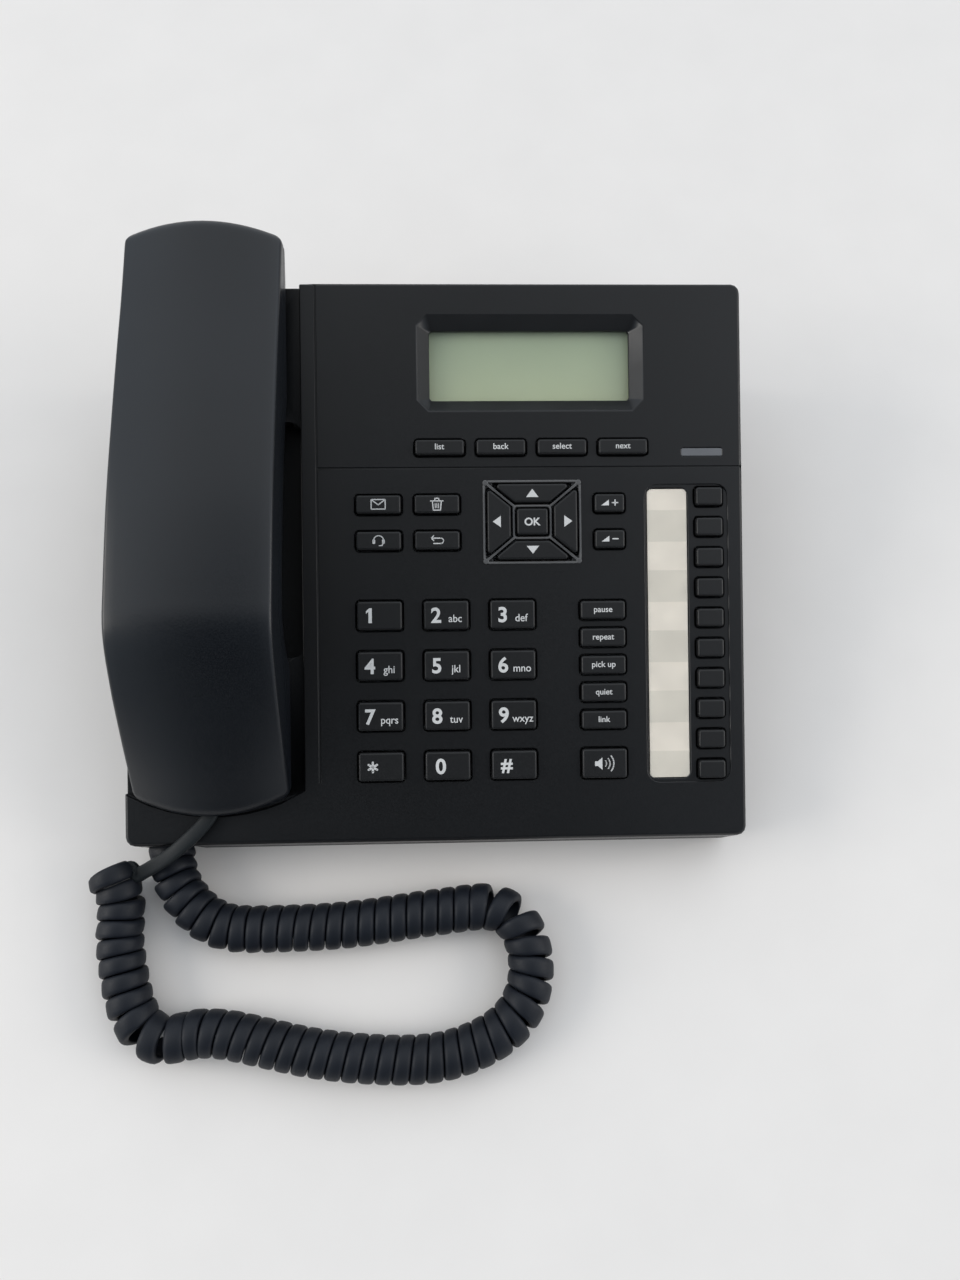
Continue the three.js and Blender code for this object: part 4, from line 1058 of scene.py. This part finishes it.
PICTURES = {
    "message_key": draw_envelope,
    "delete_key": draw_bin,
    "headset_key": draw_headset,
    "return_key": draw_return,
    "speaker_key": draw_speaker,
    "key_1": draw_one,
    "key_star": draw_star,
    "key_hash": lambda shape: shape.text("#", -2.6, -2, 4.6, BOLD, *PRINT),
    "volume_up_key": lambda shape: draw_volume(shape, True),
    "volume_down_key": lambda shape: draw_volume(shape, False),
    "ok_key": lambda shape: shape.text("OK", 0, -1.3, 2.6, BOLD, *PRINT),
    "arrow_up_key": lambda shape: draw_arrow(shape, 0, 0.2, 4.2, 2.8, 0),
    "arrow_down_key": lambda shape: draw_arrow(shape, 0, -0.2, 4.2, 2.6, 180),
    "arrow_left_key": lambda shape: draw_arrow(shape, -1, 0, 3.9, 2.7, 90),
    "arrow_right_key": lambda shape: draw_arrow(shape, 1, 0, 3.9, 2.7, -90),
}


def crossing(a, b, c, d):
    """Where line a-b meets line c-d."""
    along, other = b - a, d - c
    share = ((c.x - a.x) * other.y - (c.y - a.y) * other.x) / (along.x * other.y - along.y * other.x)
    return a + along * share


def cap_corners(node):
    """The four corners that the key's cap would have without its clipped corners, from its middle."""
    low, high = panel_box(node)
    middle = (low + high).to_2d() / 2
    points = {}
    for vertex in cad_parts[node].data.vertices:
        point = from_panel @ vertex.co
        if 0.3 < point.z < high.z - 0.2:
            points[(round(point.x, 2), round(point.y, 2))] = point.to_2d()
    centre = sum(points.values(), Vector((0, 0))) / len(points)
    ring = sorted(points.values(), key=lambda p: math.atan2(p.y - centre.y, p.x - centre.x))
    edges = list(zip(ring, ring[1:] + ring[:1]))
    longest = sorted(range(len(edges)), key=lambda i: -(edges[i][1] - edges[i][0]).length)[:4]
    edges = [edges[i] for i in sorted(longest)]
    corners = [crossing(*edges[i - 1], *edges[i]) - centre for i in range(4)]
    return centre, [tuple(corner) for corner in corners]


def add_keys():
    nodes = [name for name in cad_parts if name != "key_mat" and
             (name.startswith("key_") or name.endswith("_key") or "_key_" in name)]
    for node in sorted(nodes):
        centre, corners = cap_corners(node)
        outline = round_corners(corners, CAP_CORNER, CAP_CORNER_STEPS)
        rings = [ring_at(outline, -PANEL_THICKNESS - GAP)]
        rings += [ring_at(inset_outline(outline, inset), height) for inset, height in CAP_PROFILE]
        shape = Shape()
        shape.loft(rings)
        if node in PICTURES:
            PICTURES[node](shape)
        elif node in WORDS:
            shape.text(WORDS[node], 0, WORD_BASELINE, WORD_HEIGHT, WORD_BOLD, *PRINT)
        elif node.startswith("key_"):
            draw_dial(shape, node[4:])
        matrix = to_panel @ Matrix.Translation((centre.x, centre.y, 0))
        shape.piece(node + "_cap", matrix, [key_plastic, legend_paint], "keys", node + "_body", [node],
                    CAP_SMOOTH)


# Display, lamp and label strip

def add_lamp():
    low, high = panel_box("message_lamp")
    middle = (low + high) / 2
    width, length = high.x - low.x, high.y - low.y
    shape = Shape()
    shape.prism(round_rectangle(width, length, 0.5, middle.x, middle.y), low.z, high.z - 0.25, 1)
    shape.pad(round_rectangle(width - 0.5, length - 0.9, 0.4, middle.x, middle.y), high.z - 0.3, high.z, 0.2)
    shape.piece("message_lamp_lens", to_panel, [lamp_plastic, bezel_plastic], "lamp", "base",
                ["message_lamp"])


def add_display():
    low, high = panel_box("display_window")
    middle = (low + high) / 2
    shape = Shape()
    shape.pad(round_rectangle(high.x - low.x, high.y - low.y, 1.5, middle.x, middle.y), low.z, high.z, 0.2)
    shape.piece("display_pane", to_panel, [clear_plastic], "window", "base", ["display_window"])
    dress_node("lcd_module", lcd_face_painted_shade)


LABEL_CORNER = 1.4
LABEL_PAIRS = 4
LABEL_LIGHT = 9.7
LABEL_GREY = 10.82
LABEL_FIRST = 7.1
COVER_GAP = 0.1
COVER_THICKNESS = 0.5


def add_label():
    """Card of ten blank bands, light and grey in turn, under a clear strip."""
    low, high = panel_box("label_card")
    middle = (low + high) / 2
    width = high.x - low.x
    edges = [high.y, high.y - LABEL_FIRST]
    for _ in range(LABEL_PAIRS):
        edges.append(edges[-1] - LABEL_GREY)
        edges.append(edges[-1] - LABEL_LIGHT)
    edges.append(low.y)
    shape = Shape()
    for i, (top, bottom) in enumerate(zip(edges, edges[1:])):
        radii = [LABEL_CORNER if bottom == low.y else 0] * 2 + [LABEL_CORNER if top == high.y else 0] * 2
        outline = round_corners(rectangle(width, top - bottom, middle.x, (top + bottom) / 2), radii)
        shape.prism(outline, low.z, high.z, i % 2)
    shape.piece("label_bands", to_panel, [card_light, card_grey], "card", "base", ["label_card"])
    cover = Shape()
    cover_low = high.z + COVER_GAP
    cover.pad(round_rectangle(width, high.y - low.y, LABEL_CORNER, middle.x, middle.y), cover_low,
              cover_low + COVER_THICKNESS, 0.15)
    cover.piece("label_cover", to_panel, [clear_plastic], "window")


# Underside and rear
SCREW_X = 75.5
SCREW_MARGIN = 10.5
SCREW_RADIUS = 2.5
SCREW_SUNK = 0.9
PLATE_SIZE = (64, 34)
PLATE_PLACE = (112, 78)
SOCKET_X = 150
CONTACT_COUNT = 4
CONTACT_PITCH = 1.1
CONTACT_HALF = (0.22, 0.2)
CONTACT_LINE = ((11.8, 5.6), (9.5, 6.2), (3.4, 9.9), (2.6, 10.9))
FLOOR_REACH = 20


def add_underside():
    """Two case screws and a blank plate."""
    screws = Shape()
    for y in (SCREW_MARGIN, BASE_DEPTH - SCREW_MARGIN):
        screws.prism(circle(SCREW_RADIUS + 0.2, SCREW_X, y), FOOT_HEIGHT - 0.5, FOOT_HEIGHT + 0.05)
        head = [(x, 2 * y - v) for x, v in circle(SCREW_RADIUS, SCREW_X, y)][::-1]
        screws.pad(head, FOOT_HEIGHT - SCREW_SUNK, FOOT_HEIGHT - 0.4, 0.1)
        for dx, dy in ((1.5, 0), (0, 1.5)):
            slot = [(SCREW_X - dx, y - dy), (SCREW_X + dx, y + dy)]
            screws.stroke(slot, 0.5, FOOT_HEIGHT - SCREW_SUNK - 0.03, FOOT_HEIGHT - SCREW_SUNK + 0.1, 1)
    screws.piece("case_screws", to_world, [bright_metal, foot_rubber], "capsule")
    plate = Shape()
    plate.prism(round_rectangle(*PLATE_SIZE, 2, *PLATE_PLACE), FOOT_HEIGHT - 0.12, FOOT_HEIGHT + 0.02)
    plate.piece("blank_plate", to_world, [card_light], "card")


def add_contacts():
    """Spring wires in the line socket. CONTACT_LINE lists (distance from the rear wall, height)."""
    shape = Shape()
    section = rectangle(2 * CONTACT_HALF[0], 2 * CONTACT_HALF[1])
    for i in range(CONTACT_COUNT):
        x = SOCKET_X + (i - (CONTACT_COUNT - 1) / 2) * CONTACT_PITCH
        rings = []
        for depth, z in CONTACT_LINE:
            rings.append([Vector((x + a, BASE_DEPTH - depth, z + b)) for a, b in section])
        shape.loft(rings)
    shape.piece("socket_contacts", to_world, [gold_contact], "capsule")


def add_floor():
    """Plain floor, its reach in metres."""
    shape = bpy.data.meshes.new("floor")
    corners = [(x, y, 0) for x, y in rectangle(2 * FLOOR_REACH, 2 * FLOOR_REACH)]
    shape.from_pydata(corners, [], [(0, 1, 2, 3)])
    shape.materials.append(floor_paint)
    add_object("floor", shape)


add_camera()
add_cords()
add_handset()
add_housing()
add_cluster_ribs()
add_keys()
add_lamp()
add_display()
add_label()
add_underside()
add_contacts()
for node, material in (("circuit_board", board_resin), ("key_mat", mat_rubber), ("hook_switch", key_plastic),
                       ("receiver_capsule", bright_metal), ("microphone_capsule", bright_metal),
                       ("handset_plug", smoky_plastic), ("base_plug", smoky_plastic)):
    dress_node(node, material)
add_floor()
add_studio()
